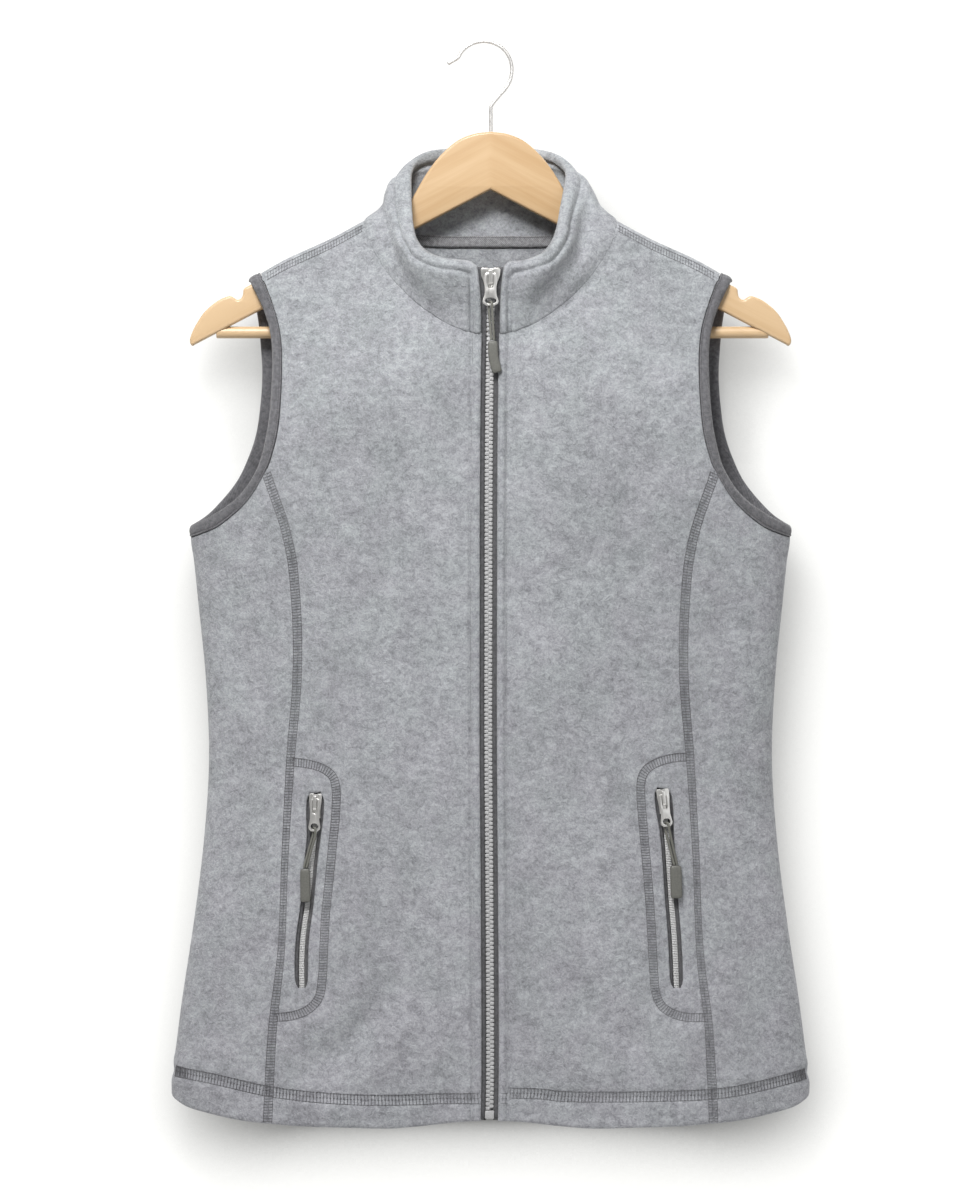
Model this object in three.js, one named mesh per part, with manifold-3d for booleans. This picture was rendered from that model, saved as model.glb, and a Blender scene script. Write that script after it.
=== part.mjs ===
// A women's fleece zip vest hung on a flat wooden clothes hanger. Millimetres, +Z up, the front
// faces -Y. The origin is the inner top of the hanger's hook, where a rail bears, in the
// garment's middle plane. Right-hand pieces (+X) and left-hand pieces (-X) are made alike.
import * as THREE from 'three';
import Module from 'manifold-3d';
import { mergeVertices } from 'three/addons/utils/BufferGeometryUtils.js';

const wasm = await Module();
wasm.setup();

// ---- Driving dimensions ----------------------------------------------------------------------

const CLOTH = 2.2; // one layer of fleece
const HEM_CLOTH = 4.2; // the hem is turned up double
const SEAM = 0.2; // each piece stops this far short of a seam line
const BLEND_DROP = 150; // below the shoulder ridge the cloth has its full depth after this much
const SHOULDER_SEAM_DROP = 5; // the shoulder seam lies this far in front of and below the ridge
const HEM_TURN = 20; // depth of the turned-up hem
const HEM_STEP = 3; // the double cloth thins to one layer over this much
const COLLAR_CLOTH = 5.2; // two layers
const COLLAR_SWELL = 2.5; // the collar bows out between seam and rim
const RIM_ROUNDING = 1.4; // its rim thins by this much on each face
const BINDING_IN = 2.7; // the binding wraps this far behind the cloth's face
const BINDING_CROWN = 1.2; // and stands this far in front of it
const TAPE_WIDTH = 9; // tape over the inside of the back neck seam
const TAPE_CLOTH = 1;

const ZIP_GAP = 6.3; // half the opening between the front edges
const COLLAR_FLARE = 3.6; // the collar's front edges open out beside the slider
const GAP = 0.3; // running gap between touching pieces

// Each zip: the panel over its tapes, tape and chain thicknesses, and half widths from its middle.
const MAIN_ZIP = { panel: 2.4, tape: 0.9, chain: 2.6, chainHalf: 2.95, tapeInner: 3.7, tapeEdge: 17 };
const POCKET_ZIP = { panel: 2.4, tape: 0.8, chain: 2, chainHalf: 1.85, tapeInner: 2.3, tapeEdge: 10.5 };
const ZIP_FOOT = -795; // the main zip's tapes end here
const BOX = { foot: -794, top: -788, half: 3.4, front: 1.5, back: 4.8 }; // the retaining box
const BAG_REST = 2.7; // along its edge the pocket bag lies this far behind the panel's face
const BAG_DEPTH = 6.4; // and this far in its middle, behind the slider
const BAG_CLOTH = 0.9;
const BAG_EASE = 8; // the bag falls from one to the other over this width

const PIVOT_DROP = 4.5; // the pull's crossbar below the slider's top edge
const PLATE = 1.3; // a slider's two plates
const PLATE_LENGTH = 18;
const WELD = 0.2; // a slider's parts run this far into each other
const TAB = 1.4; // thickness of the metal pull tab, and of its crossbar
const CORD = 1.8; // pull cord
const GRIP_BACK = 0.9; // the grip hangs this far in front of the cloth
const GRIP_THICK = 4.2;
const GRIP_HALF = 3.65;

const WOOD = 11; // thickness of the hanger
const WOOD_EDGE = 2; // its rounded edges
const WOOD_ARM_SLOPE = 0.5233; // fall of the arm's underside
const WOOD_APEX = -108; // the underside's middle
const BAR = { radius: 4.4, z: -213.8, left: -204, right: 207 };
const HOOK_WIRE = 3.2;
const HOOK_RADIUS = 20.9;
const HOOK_CENTRE = { x: -5, z: -18.6 };
const STEM_X = 0.3;
const HOOK_SEAT = 14; // the stem goes this far into the wood
const WOOD_TOP = -65;

// ---- Tables ----------------------------------------------------------------------------------

/** Rows of numbers under named columns, in rising order of the first, read smoothly. */
class Table {
  constructor(names, rows) {
    this.names = names;
    this.rows = rows;
  }

  at(place, name) {
    const column = this.names.indexOf(name);
    const rows = this.rows;
    const last = rows.length - 1;
    let i = rows.findIndex((row) => row[0] > place) - 1;
    i = i < 0 ? (place < rows[0][0] ? 0 : last - 1) : i;
    const slope = (k) => {
      const lower = rows[Math.max(k - 1, 0)];
      const upper = rows[Math.min(k + 1, last)];
      return (upper[column] - lower[column]) / (upper[0] - lower[0]);
    };
    const span = rows[i + 1][0] - rows[i][0];
    const t = (place - rows[i][0]) / span;
    if (t < 0) return rows[0][column] + slope(0) * (place - rows[0][0]);
    if (t > 1) return rows[last][column] + slope(last) * (place - rows[last][0]);
    const t2 = t * t;
    const t3 = t2 * t;
    return (2 * t3 - 3 * t2 + 1) * rows[i][column] + (t3 - 2 * t2 + t) * span * slope(i)
      + (3 * t2 - 2 * t3) * rows[i + 1][column] + (t3 - t2) * span * slope(i + 1);
  }
}

/** The ridge where the cloth folds over the hanger, and the radius of that fold. */
const RIDGE = new Table(['x', 'z', 'fold'], [
  [0, -101, 14], [20, -102.5, 14], [40, -107, 13.9], [60, -114.3, 13.6], [80, -124, 13.2],
  [94, -131.2, 12.8], [119, -144.6, 11], [152.5, -160, 9.7], [178.8, -174.8, 9.5],
  [222, -196, 9.5], [245, -207.2, 9.5],
]);

/** The body's level sections: half width, and the depth of front and back from the middle. */
const SECTIONS = new Table(['z', 'half', 'front', 'back'], [
  [-805, 236.5, 43.5, 30], [-768, 236.3, 43, 30], [-739, 232.8, 42.5, 29.5],
  [-709, 228.9, 42, 29], [-650, 220, 41, 28], [-590, 212.6, 40, 27], [-531, 208.9, 40, 26],
  [-472, 211.1, 41, 26], [-412, 217, 43, 27], [-383, 220, 44, 27], [-365, 222.3, 45, 27],
  [-340, 219.5, 46, 27], [-300, 212, 46, 26], [-250, 204, 46, 24], [-200, 199, 44, 22],
  [-150, 197, 42, 21], [-100, 196, 42, 21],
]);

/** The hem edge of the front and of the back. */
const HEM = new Table(['x', 'front', 'back'], [
  [0, -795.5, -794], [20, -796.2, -794], [52, -799.6, -794], [74, -801.4, -794], [94, -801.1, -794],
  [140, -800, -793.5], [165, -798.2, -792.5], [186, -796, -791], [211, -791, -788.5],
  [226, -787.2, -785.5], [231, -785.2, -783.5], [234, -782, -781.4], [238, -776.5, -776.5],
]);

/** The princess seam between a centre front and a side front. */
const PRINCESS = new Table(['z', 'x'], [
  [-805, 164.6], [-795, 164.2], [-730, 160.8], [-670, 154.3], [-603, 151.6], [-529, 147.4],
  [-474, 142.8], [-434, 142.4], [-390, 145.3], [-372, 148.3], [-355, 152.6], [-337, 158.8],
  [-325, 163.1], [-316.3, 165.9],
]);

/** The closed zip's middle line, which wanders a little to -X below the neck. */
const ZIP_LINE = new Table(['z', 'x'], [
  [-800, -0.9], [-760, -0.3], [-690, -0.4], [-600, -1], [-520, -1.6], [-400, -1.5], [-320, -1.3],
  [-260, -0.8], [-216, 0], [-150, 0],
]);

/** Neck seam on the front, from the zip's edge up towards the shoulder. */
const FRONT_NECK = [
  [6.3, -215.8], [16, -214.7], [30, -209.7], [44, -201.2], [58.3, -190], [72.4, -175.3],
  [84, -158.8], [90.3, -146],
];

/** Neck seam on the back, from the middle up towards the ridge. */
const BACK_NECK = [[0, -150.3], [22, -150.3], [42, -149.8], [60, -148], [75, -144.2], [85, -138.3]];
const NECK_CORNER = 93.6; // the neck seam crosses the ridge here
const NECK_SIDE = 93.2; // and the shoulder seam here

/** Armhole on the front: the binding's open edge and its seam edge, from shoulder to underarm. */
const FRONT_ARMHOLE = new Table(['row', 'openX', 'openZ', 'seamX', 'seamZ'], [
  [0, 173.4, -184.0, 167.2, -177.5], [1, 168.2, -196.8, 162.3, -191.5], [2, 164.5, -211.6, 158.2, -206.5],
  [3, 163.0, -228.3, 155.8, -223], [4, 163.2, -251.5, 155.2, -245], [5, 164.5, -273.2, 156.2, -270],
  [6, 167.2, -291.9, 158.4, -290], [7, 171.4, -309.8, 162.2, -305.5], [8, 176.4, -321.1, 165.9, -316.3],
  [9, 184.3, -332.9, 174.6, -332.5], [10, 195.1, -342.6, 185, -345.3], [11, 208.3, -351.0, 200, -357.5],
  [12, 216.9, -355.1, 213, -363.2],
]);

/** Armhole on the back, in the same way. */
const BACK_ARMHOLE = new Table(['row', 'openX', 'openZ', 'seamX', 'seamZ'], [
  [0, 174.5, -189.6, 167.3, -186], [1, 171.7, -206.7, 163.6, -204], [2, 169.8, -227.9, 161.2, -227],
  [3, 169.1, -245.6, 160.5, -246], [4, 170.5, -266.7, 161.9, -268.5], [5, 173.7, -288.4, 165.1, -291.5],
  [6, 179.8, -307.0, 171.8, -311.5], [7, 188.4, -324.7, 181.6, -331], [8, 201.4, -340.9, 196, -348.5],
  [9, 213.2, -351.9, 210, -360],
]);
const UNDERARM = { x: 222.3, open: -357.3, seam: -365.2 };
const SHOULDER_END = { openX: 179, seamX: 170.3 }; // binding edges where they cross the ridge
const SHOULDER_SEAM_END = { openX: 176.4, seamX: 169.4 }; // and at the shoulder seam
const PRINCESS_ROW = 8; // the row of the front armhole where the princess seam meets it
const PRINCESS_FOOT = PRINCESS.at(-798, 'x'); // the princess seam at the hem's edge
const SIDE_FOOT = 236.4; // the side seam at the hem's edge

/** Rim of the collar, from the front edge round to the middle of the back: its top line. */
const RIM = [
  [9.9, -42, -166.6], [13.8, -42.7, -163.8], [24.5, -42.5, -161.1], [33.1, -40.7, -158.6],
  [41.1, -37, -153.9], [46.6, -33.2, -147.5], [51.1, -28.3, -136.2], [53.4, -19.9, -120.5],
  [54.5, -9.5, -104.9], [54.9, 2.5, -90.7], [52.2, 11.5, -82.8], [46.2, 18.2, -78],
  [34.2, 23.7, -75.9], [17, 25.9, -75], [0, 26.5, -74.5],
];

/** The pocket bag's edge towards the front zip. */
const BAG = new Table(['z', 'x'], [
  [-717, 140], [-713, 129.5], [-706, 124.2], [-690, 121.2], [-650, 118.4], [-600, 115],
  [-555, 113], [-545, 115], [-537.5, 123.5], [-535, 134],
]);

/** Each pocket: the zip's line, its slider's pivot, and the grip's middle line from the pivot. */
const POCKETS = [
  {
    side: 1,
    name: 'right',
    line: [[126.2, -547], [128, -563], [130.3, -586], [133.7, -635], [135.9, -663.4], [137.6, -703]],
    pivotZ: -556,
    grip: [[2.9, -52.5], [2, -64], [0.8, -76.6]],
  },
  {
    side: -1,
    name: 'left',
    line: [
      [128.9, -549], [129.2, -563], [130.2, -586], [132.6, -608], [135.2, -636], [138.4, -660],
      [139.4, -678], [139.2, -703],
    ],
    pivotZ: -559.5,
    grip: [[5.9, -50.8], [5.4, -63], [4.9, -75.4]],
  },
];
const MAIN_PIVOT_Z = -172.5;
const MAIN_GRIP = [[1.6, -49.3], [2.2, -61], [5.1, -72.5]];
const MAIN_PULL_LEAN = 5.5; // degrees: the pull hangs over the swell of the chest
const CHAIN_BELOW_PIVOT = 5; // a chain shows from this far below its slider's pivot

/** Half the slit for a pocket zip, by its share of the way up: it opens wider round the slider. */
const SLIT_FOOT = -698;
const SLIT_ABOVE_PIVOT = 6.5;
const SLIT = new Table(['share', 'half'], [
  [0, 2.6], [0.03, 4.6], [0.27, 4.8], [0.67, 4.8], [0.79, 5.2], [0.88, 6.4], [0.975, 6.5], [1, 5.6],
]);

// ---- Colours ---------------------------------------------------------------------------------

const finish = (color, roughness, metalness = 0) =>
  new THREE.MeshStandardMaterial({ color, roughness, metalness });
const FLEECE = finish(0xa5a7ab, 0.98);
const TRIM = finish(0x6e6e73, 0.9);
const DARK_TAPE = finish(0x555558, 0.9);
const TEETH = finish(0xc4c4c4, 0.5);
const SILVER = finish(0xcfcfca, 0.3, 1);
const GRIP = finish(0x80806f, 0.7);
const BEECH = finish(0xe5be8c, 0.5);
const NICKEL = finish(0xbeb4ac, 0.35, 1);

// ---- Geometry helpers ------------------------------------------------------------------------

const lerp = (a, b, t) => a + (b - a) * t;
const clamp01 = (t) => Math.min(Math.max(t, 0), 1);
const smooth = (t) => clamp01(t) ** 2 * (3 - 2 * clamp01(t));
const steps = (from, to, count) =>
  Array.from({ length: count + 1 }, (_, i) => lerp(from, to, i / count));
const towards = (point, direction, far) => point.clone().addScaledVector(direction, far);

/** A closed mesh from points and quads or triangles, turned so that its faces point outwards. */
function closedMesh(points, faces) {
  const triangles = faces.flatMap(([a, b, c, d]) =>
    (d === undefined ? [[a, b, c]] : [[a, b, c], [a, c, d]]));
  const volume = triangles.reduce((sum, [a, b, c]) =>
    sum + points[a].dot(points[b].clone().cross(points[c])), 0);
  const numbers = points.flatMap((p) => p.toArray());
  const geometry = new THREE.BufferGeometry();
  geometry.setAttribute('position', new THREE.Float32BufferAttribute(numbers, 3));
  geometry.setIndex(triangles.flatMap(([a, b, c]) => (volume > 0 ? [a, b, c] : [a, c, b])));
  return geometry;
}

/** A closed wall from rows of {outer, inner} points. */
function wall(grid) {
  const columns = grid[0].length;
  const [lastRow, lastColumn] = [grid.length - 1, columns - 1];
  const cells = grid.flat();
  const points = [...cells.map((cell) => cell.outer), ...cells.map((cell) => cell.inner)];
  const outer = (r, c) => r * columns + c;
  const inner = (r, c) => cells.length + r * columns + c;
  const edge = (r, c, r2, c2) => [outer(r, c), outer(r2, c2), inner(r2, c2), inner(r, c)];
  const faces = [];
  for (let r = 0; r < lastRow; r += 1) {
    for (let c = 0; c < lastColumn; c += 1) {
      faces.push([outer(r, c), outer(r, c + 1), outer(r + 1, c + 1), outer(r + 1, c)]);
      faces.push([inner(r, c), inner(r + 1, c), inner(r + 1, c + 1), inner(r, c + 1)]);
    }
    faces.push(edge(r, 0, r + 1, 0), edge(r + 1, lastColumn, r, lastColumn));
  }
  for (let c = 0; c < lastColumn; c += 1) {
    faces.push(edge(0, c + 1, 0, c), edge(lastRow, c, lastRow, c + 1));
  }
  return closedMesh(points, faces);
}

/** A solid through rings of points: a closed loop, or a bar with flat ends. */
function loft(rings, looped) {
  const size = rings[0].length;
  const faces = [];
  for (let r = 0; r < rings.length - (looped ? 0 : 1); r += 1) {
    const next = (r + 1) % rings.length;
    for (let k = 0; k < size; k += 1) {
      const turn = (k + 1) % size;
      faces.push([r * size + k, r * size + turn, next * size + turn, next * size + k]);
    }
  }
  for (let k = 1; k < size - 1 && !looped; k += 1) {
    const far = (rings.length - 1) * size;
    faces.push([0, k + 1, k], [far, far + k, far + k + 1]);
  }
  return closedMesh(rings.flat(), faces);
}

function toSolid(geometry) {
  const plain = geometry.clone();
  plain.deleteAttribute('normal');
  plain.deleteAttribute('uv');
  const merged = mergeVertices(plain, 1e-4);
  return new wasm.Manifold(new wasm.Mesh({
    numProp: 3,
    vertProperties: new Float32Array(merged.attributes.position.array),
    triVerts: new Uint32Array(merged.index.array),
  }));
}

function fromSolid(solid) {
  const mesh = solid.getMesh();
  const geometry = new THREE.BufferGeometry();
  geometry.setAttribute('position', new THREE.BufferAttribute(mesh.vertProperties, 3));
  geometry.setIndex(new THREE.BufferAttribute(mesh.triVerts, 1));
  return geometry;
}

const joined = (...parts) => fromSolid(parts.map(toSolid).reduce((sum, part) => sum.add(part)));
const cut = (body, ...tools) =>
  fromSolid(tools.map(toSolid).reduce((rest, tool) => rest.subtract(tool), toSolid(body)));

/** A flat outline, [across, up] points, as a plate from one depth to another along +Y. */
function plate(outline, near, far, holes = []) {
  const shape = new THREE.Shape(outline.map(([x, z]) => new THREE.Vector2(x, z)));
  shape.holes = holes.map((hole) => new THREE.Path(hole.map(([x, z]) => new THREE.Vector2(x, z))));
  const geometry = new THREE.ExtrudeGeometry(shape, { depth: far - near, bevelEnabled: false });
  geometry.rotateX(Math.PI / 2);
  geometry.translate(0, far, 0);
  return geometry;
}

/** A round tube of the given sides along a smooth curve through points. */
function tube(points, diameter, sides, stepCount) {
  const section = new THREE.Shape(steps(0, 1, sides).slice(0, -1).map((t) =>
    new THREE.Vector2(Math.cos(2 * Math.PI * t), Math.sin(2 * Math.PI * t)).multiplyScalar(diameter / 2)));
  const path = new THREE.CatmullRomCurve3(points, false, 'centripetal');
  return new THREE.ExtrudeGeometry(section, { steps: stepCount, bevelEnabled: false, extrudePath: path });
}

/** A function of 0..1 along a polyline of points, by its length. */
function byLength(points) {
  const marks = [0];
  points.slice(1).forEach((p, i) => marks.push(marks[i] + p.distanceTo(points[i])));
  const total = marks[marks.length - 1];
  return (t) => {
    const place = clamp01(t) * total;
    const i = Math.min(Math.max(marks.findIndex((m) => m >= place), 1), points.length - 1);
    return points[i - 1].clone().lerp(points[i], (place - marks[i - 1]) / (marks[i] - marks[i - 1]));
  };
}

// ---- The body's surface ----------------------------------------------------------------------

// A place on the cloth is (x, rise): rise is measured along the cloth, 0 where the fold over the
// hanger begins, negative down the body and positive round the fold. FRONT and BACK are the two
// faces. `wrap` is 1 at the middle and 0 at the side seam, and eases the turn there.
const FRONT = { depth: 'front', sign: -1 };
const BACK = { depth: 'back', sign: 1 };

function riseOf(x, z) {
  const fold = RIDGE.at(x, 'fold');
  const drop = RIDGE.at(x, 'z') - z;
  return drop >= fold ? fold - drop : fold * (Math.PI / 2 - Math.acos(1 - Math.max(drop, 0) / fold));
}

const ridgeRise = (x) => (RIDGE.at(x, 'fold') * Math.PI) / 2;
const SIDE = new Table(['rise', 'half'], [
  ...SECTIONS.rows.filter(([z]) => z <= -200).map(([z, half]) => [riseOf(half, z), half]),
  [15, 198], [45, 198],
]);

const wrapOf = (x, rise) => Math.sqrt(Math.max(0, 1 - x / SIDE.at(rise, 'half')));

function surface(face, wrap, rise) {
  const across = 1 - wrap * wrap;
  const x = SIDE.at(rise, 'half') * across;
  const fold = RIDGE.at(x, 'fold');
  const turn = Math.PI / 2 - Math.max(rise, 0) / fold;
  const drop = rise <= 0 ? fold - rise : fold * (1 - Math.cos(turn));
  const z = RIDGE.at(x, 'z') - drop;
  const full = SECTIONS.at(z, face.depth) * wrap * Math.sqrt(1 + across + across * across);
  const y = fold * Math.sin(turn) + (full - fold) * smooth(drop / BLEND_DROP);
  return new THREE.Vector3(x, face.sign * y, z);
}

/** The point of the cloth's outer face and the outward direction there. */
function clothAt(face, wrap, rise) {
  const step = 0.01;
  const alongWrap = surface(face, wrap + step, rise).sub(surface(face, wrap - step, rise));
  const alongRise = surface(face, wrap, rise + step).sub(surface(face, wrap, rise - step));
  const normal = alongWrap.cross(alongRise).normalize().multiplyScalar(face.sign);
  return { point: surface(face, wrap, rise), normal };
}

/** The cloth at x and z on a face, for x >= 0. */
const clothAtXZ = (face, x, z) => clothAt(face, wrapOf(x, riseOf(x, z)), riseOf(x, z));

const place = (x, z) => new THREE.Vector2(wrapOf(x, riseOf(x, z)), riseOf(x, z));
const placeAtRise = (x, rise) => new THREE.Vector2(wrapOf(x, rise), rise);

const shoulderSeamTurn = (x) => Math.acos(1 - SHOULDER_SEAM_DROP / RIDGE.at(x, 'fold'));
const frontSeamRise = (x) => RIDGE.at(x, 'fold') * (Math.PI / 2 - shoulderSeamTurn(x));
const backSeamRise = (x) => RIDGE.at(x, 'fold') * (Math.PI / 2 + shoulderSeamTurn(x));

const zipLean = (z) => ZIP_LINE.at(z, 'x');

/** A smooth run through places, as a function of 0..1 with one equal share for each stretch. */
function run(places) {
  const curve = new THREE.SplineCurve(places);
  return (t) => curve.getPoint(clamp01(t));
}

/** Two or more runs end to end; `shares` are where each ends. */
function chain(runs, shares) {
  return (t) => {
    const i = Math.min(shares.findIndex((share) => t <= share + 1e-9), shares.length - 1);
    const start = i ? shares[i - 1] : 0;
    return runs[i]((t - start) / (shares[i] - start));
  };
}

/** The same run with even steps along the cloth. */
function even(face, places) {
  const count = 80;
  const points = steps(0, 1, count).map((t) => clothAt(face, places(t).x, places(t).y).point);
  const marks = [0];
  points.slice(1).forEach((p, i) => marks.push(marks[i] + p.distanceTo(points[i])));
  return (t) => {
    const far = clamp01(t) * marks[count];
    const i = Math.min(Math.max(marks.findIndex((m) => m >= far), 1), count);
    return places((i - 1 + (far - marks[i - 1]) / (marks[i] - marks[i - 1])) / count);
  };
}

/** Places filling a four-sided patch between its edges. */
function patch(bottom, top, inner, outer, us, vs) {
  return vs.map((v) => us.map((u) => {
    const p = bottom(u).clone().multiplyScalar(1 - v).addScaledVector(top(u), v);
    p.addScaledVector(inner(v), 1 - u).addScaledVector(outer(v), u);
    p.addScaledVector(bottom(0), -(1 - u) * (1 - v)).addScaledVector(bottom(1), -u * (1 - v));
    return p.addScaledVector(top(0), -(1 - u) * v).addScaledVector(top(1), -u * v);
  }));
}

/** Draw a grid's edges in from their seam lines by the seam gap: `seams` names the edges. */
function drawIn(grid, seams) {
  const rows = grid.length;
  const columns = grid[0].length;
  const shifts = [];
  const shift = (r, c, r2, c2, ra, ca, rb, cb) => {
    const along = grid[rb][cb].point.clone().sub(grid[ra][ca].point).normalize();
    const across = grid[r][c].normal.clone().cross(along).normalize();
    const inward = grid[r2][c2].point.clone().sub(grid[r][c].point);
    shifts.push([grid[r][c], across.multiplyScalar(Math.sign(across.dot(inward)) * SEAM)]);
  };
  for (let r = 0; r < rows; r += 1) {
    const [ra, rb] = [Math.max(r - 1, 0), Math.min(r + 1, rows - 1)];
    if (seams.inner) shift(r, 0, r, 1, ra, 0, rb, 0);
    if (seams.outer) shift(r, columns - 1, r, columns - 2, ra, columns - 1, rb, columns - 1);
  }
  for (let c = 0; c < columns; c += 1) {
    const [ca, cb] = [Math.max(c - 1, 0), Math.min(c + 1, columns - 1)];
    if (seams.top) shift(rows - 1, c, rows - 2, c, rows - 1, ca, rows - 1, cb);
  }
  shifts.forEach(([cell, move]) => cell.point.add(move));
}

const mirrored = ({ point, normal }) => ({
  point: new THREE.Vector3(-point.x, point.y, point.z),
  normal: new THREE.Vector3(-normal.x, normal.y, normal.z),
});

/** Cloth is double in the turned-up hem, except where the zip's tapes end in it. */
function thickness(face, point, single) {
  const across = Math.abs(point.x);
  const above = smooth((point.z - HEM.at(across, face.depth) - HEM_TURN) / HEM_STEP + 1);
  const double = face === FRONT ? smooth((across - MAIN_ZIP.tapeEdge) / (2 * HEM_STEP)) : 1;
  return lerp(lerp(single, HEM_CLOTH, double), single, above);
}

const clothWall = (grid, face, single) => wall(grid.map((row) => row.map(({ point, normal }) => ({
  outer: point,
  inner: towards(point, normal, -thickness(face, point, single)),
}))));

// ---- Seam lines ------------------------------------------------------------------------------

const armholeRows = (table, edge) => table.rows.map(([row]) =>
  place(table.at(row, `${edge}X`), table.at(row, `${edge}Z`)));

/** An armhole edge's places on one face, from the ridge by the shoulder seam to the underarm. */
function armholeEdge(face, edge) {
  const ridgeX = SHOULDER_END[`${edge}X`];
  const seamX = SHOULDER_SEAM_END[`${edge}X`];
  return [
    placeAtRise(ridgeX, ridgeRise(ridgeX)),
    placeAtRise(seamX, frontSeamRise(seamX)),
    ...armholeRows(face === FRONT ? FRONT_ARMHOLE : BACK_ARMHOLE, edge),
    new THREE.Vector2(0, riseOf(UNDERARM.x, UNDERARM[edge])),
  ];
}

const FRONT_ARM_SEAM = armholeEdge(FRONT, 'seam');
const BACK_ARM_SEAM = armholeEdge(BACK, 'seam');
const PRINCESS_TOP = FRONT_ARMHOLE.rows[PRINCESS_ROW][4];

const frontArm = run(FRONT_ARM_SEAM);
const backArm = run(BACK_ARM_SEAM);
const princessShare = (PRINCESS_ROW + 2) / (FRONT_ARM_SEAM.length - 1);
const shoulderShare = 1 / (FRONT_ARM_SEAM.length - 1);
const foldShare = 1 / (BACK_ARM_SEAM.length - 1);
const FRONT_ARM_STATIONS = [
  ...steps(0, shoulderShare, 3),
  ...steps(shoulderShare, princessShare, 10).slice(1),
  ...steps(princessShare, 1, 8).slice(1),
];
const BACK_ARM_STATIONS = [...steps(0, foldShare, 3), ...steps(foldShare, 1, 14).slice(1)];

const frontNeck = even(FRONT, run([
  ...FRONT_NECK.map(([x, z]) => place(x, z)),
  placeAtRise(NECK_SIDE, frontSeamRise(NECK_CORNER)),
]));
const backNeck = even(BACK, run([
  ...BACK_NECK.map(([x, z]) => place(x, z)),
  placeAtRise(NECK_CORNER - 2, ridgeRise(NECK_CORNER) * 0.5),
  placeAtRise(NECK_CORNER, ridgeRise(NECK_CORNER)),
  placeAtRise(NECK_SIDE, backSeamRise(NECK_CORNER)),
]));
const NECK_FRONT_STEPS = 9;
const NECK_BACK_STEPS = 8;
const SHOULDER_STEPS = 3;

const straight = (from, to, count) => run(steps(0, 1, count).map((t) => from.clone().lerp(to, t)));
const hem = (face, from, to) => run(steps(from, to, 10).map((x) => place(x, HEM.at(x, face.depth))));
const princessLine = run(steps(HEM.at(PRINCESS_FOOT, 'front'), PRINCESS_TOP, 16).map((z) =>
  place(PRINCESS.at(z, 'x'), z)));
const PRINCESS_STATIONS = [0, 0.038, 0.054, ...steps(0.1, 1, 12)]; // the two panels' rows along it

/** The side seam from the hem up to the armhole, which both faces share in plan. */
const sideSeam = (face, top) => {
  const foot = new THREE.Vector2(0, riseOf(SIDE_FOOT, HEM.at(SIDE_FOOT, face.depth)));
  return straight(foot, top, 8);
};

// ---- Panels ----------------------------------------------------------------------------------

// `meet`, `over` and `corner` are the shares of an edge at which its next run begins.
function frontCentre(side) {
  const edge = (z) => ZIP_GAP + side * zipLean(z);
  const foot = edge(ZIP_FOOT);
  const inner = run(steps(HEM.at(foot, 'front'), FRONT_NECK[0][1], 16).map((z) => place(edge(z), z)));
  const meet = 0.77;
  const corner = 0.56;
  const outer = chain([princessLine, (t) => frontArm(lerp(princessShare, shoulderShare, t))], [meet, 1]);
  const shoulder = run(steps(NECK_SIDE, SHOULDER_SEAM_END.seamX, 6).map((x) =>
    placeAtRise(x, frontSeamRise(x))));
  const top = chain([frontNeck, shoulder], [corner, 1]);
  const us = [...steps(0, corner, NECK_FRONT_STEPS), ...steps(corner, 1, SHOULDER_STEPS).slice(1)];
  const vs = [...PRINCESS_STATIONS.map((t) => t * meet), ...steps(meet, 1, 10).slice(1)];
  const places = patch(hem(FRONT, foot, PRINCESS_FOOT), top, inner, outer, us, vs);
  return places.map((row) => row.map((p) => clothAt(FRONT, p.x, p.y)));
}

function frontSide() {
  const outer = sideSeam(FRONT, FRONT_ARM_SEAM[FRONT_ARM_SEAM.length - 1]);
  const bottom = run([...steps(PRINCESS_FOOT, 233, 7).map((x) => place(x, HEM.at(x, 'front'))), outer(0)]);
  const top = (t) => frontArm(lerp(princessShare, 1, t));
  const places = patch(bottom, top, princessLine, outer, steps(0, 1, 8), PRINCESS_STATIONS);
  return places.map((row) => row.map((p) => clothAt(FRONT, p.x, p.y)));
}

function backHalf() {
  const side = sideSeam(BACK, BACK_ARM_SEAM[BACK_ARM_SEAM.length - 1]);
  const bottom = run([...steps(0, 233, 9).map((x) => place(x, HEM.at(x, 'back'))), side(0)]);
  const inner = straight(place(0, HEM.at(0, 'back')), place(0, BACK_NECK[0][1]), 8);
  const meet = 0.66;
  const over = 0.96;
  const corner = 0.56;
  const overRidge = (t) => {
    const p = frontArm(t * shoulderShare);
    const x = SIDE.at(p.y, 'half') * (1 - p.x * p.x);
    return placeAtRise(x, Math.PI * RIDGE.at(x, 'fold') - p.y);
  };
  const outer = chain([side, (t) => backArm(1 - t), overRidge], [meet, over, 1]);
  const shoulder = run(steps(NECK_SIDE, SHOULDER_SEAM_END.seamX, 6).map((x) =>
    placeAtRise(x, backSeamRise(x))));
  const top = chain([backNeck, shoulder], [corner, 1]);
  const us = [...steps(0, corner, NECK_BACK_STEPS), ...steps(corner, 1, SHOULDER_STEPS).slice(1)];
  const armVs = BACK_ARM_STATIONS.slice(0, -1).reverse().map((t) => lerp(over, meet, t));
  const vs = [0, 0.03, 0.04, ...steps(0.08, meet, 6), ...armVs, ...steps(over, 1, 3).slice(1)];
  return patch(bottom, top, inner, outer, us, vs).map((row) => row.map((p) => clothAt(BACK, p.x, p.y)));
}

/** The whole back: its half and the mirror of it. */
function backPanel() {
  return backHalf().map((row) => [...row.slice(1).map(mirrored).reverse(), ...row]);
}

// ---- Armhole bindings ------------------------------------------------------------------------

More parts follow.
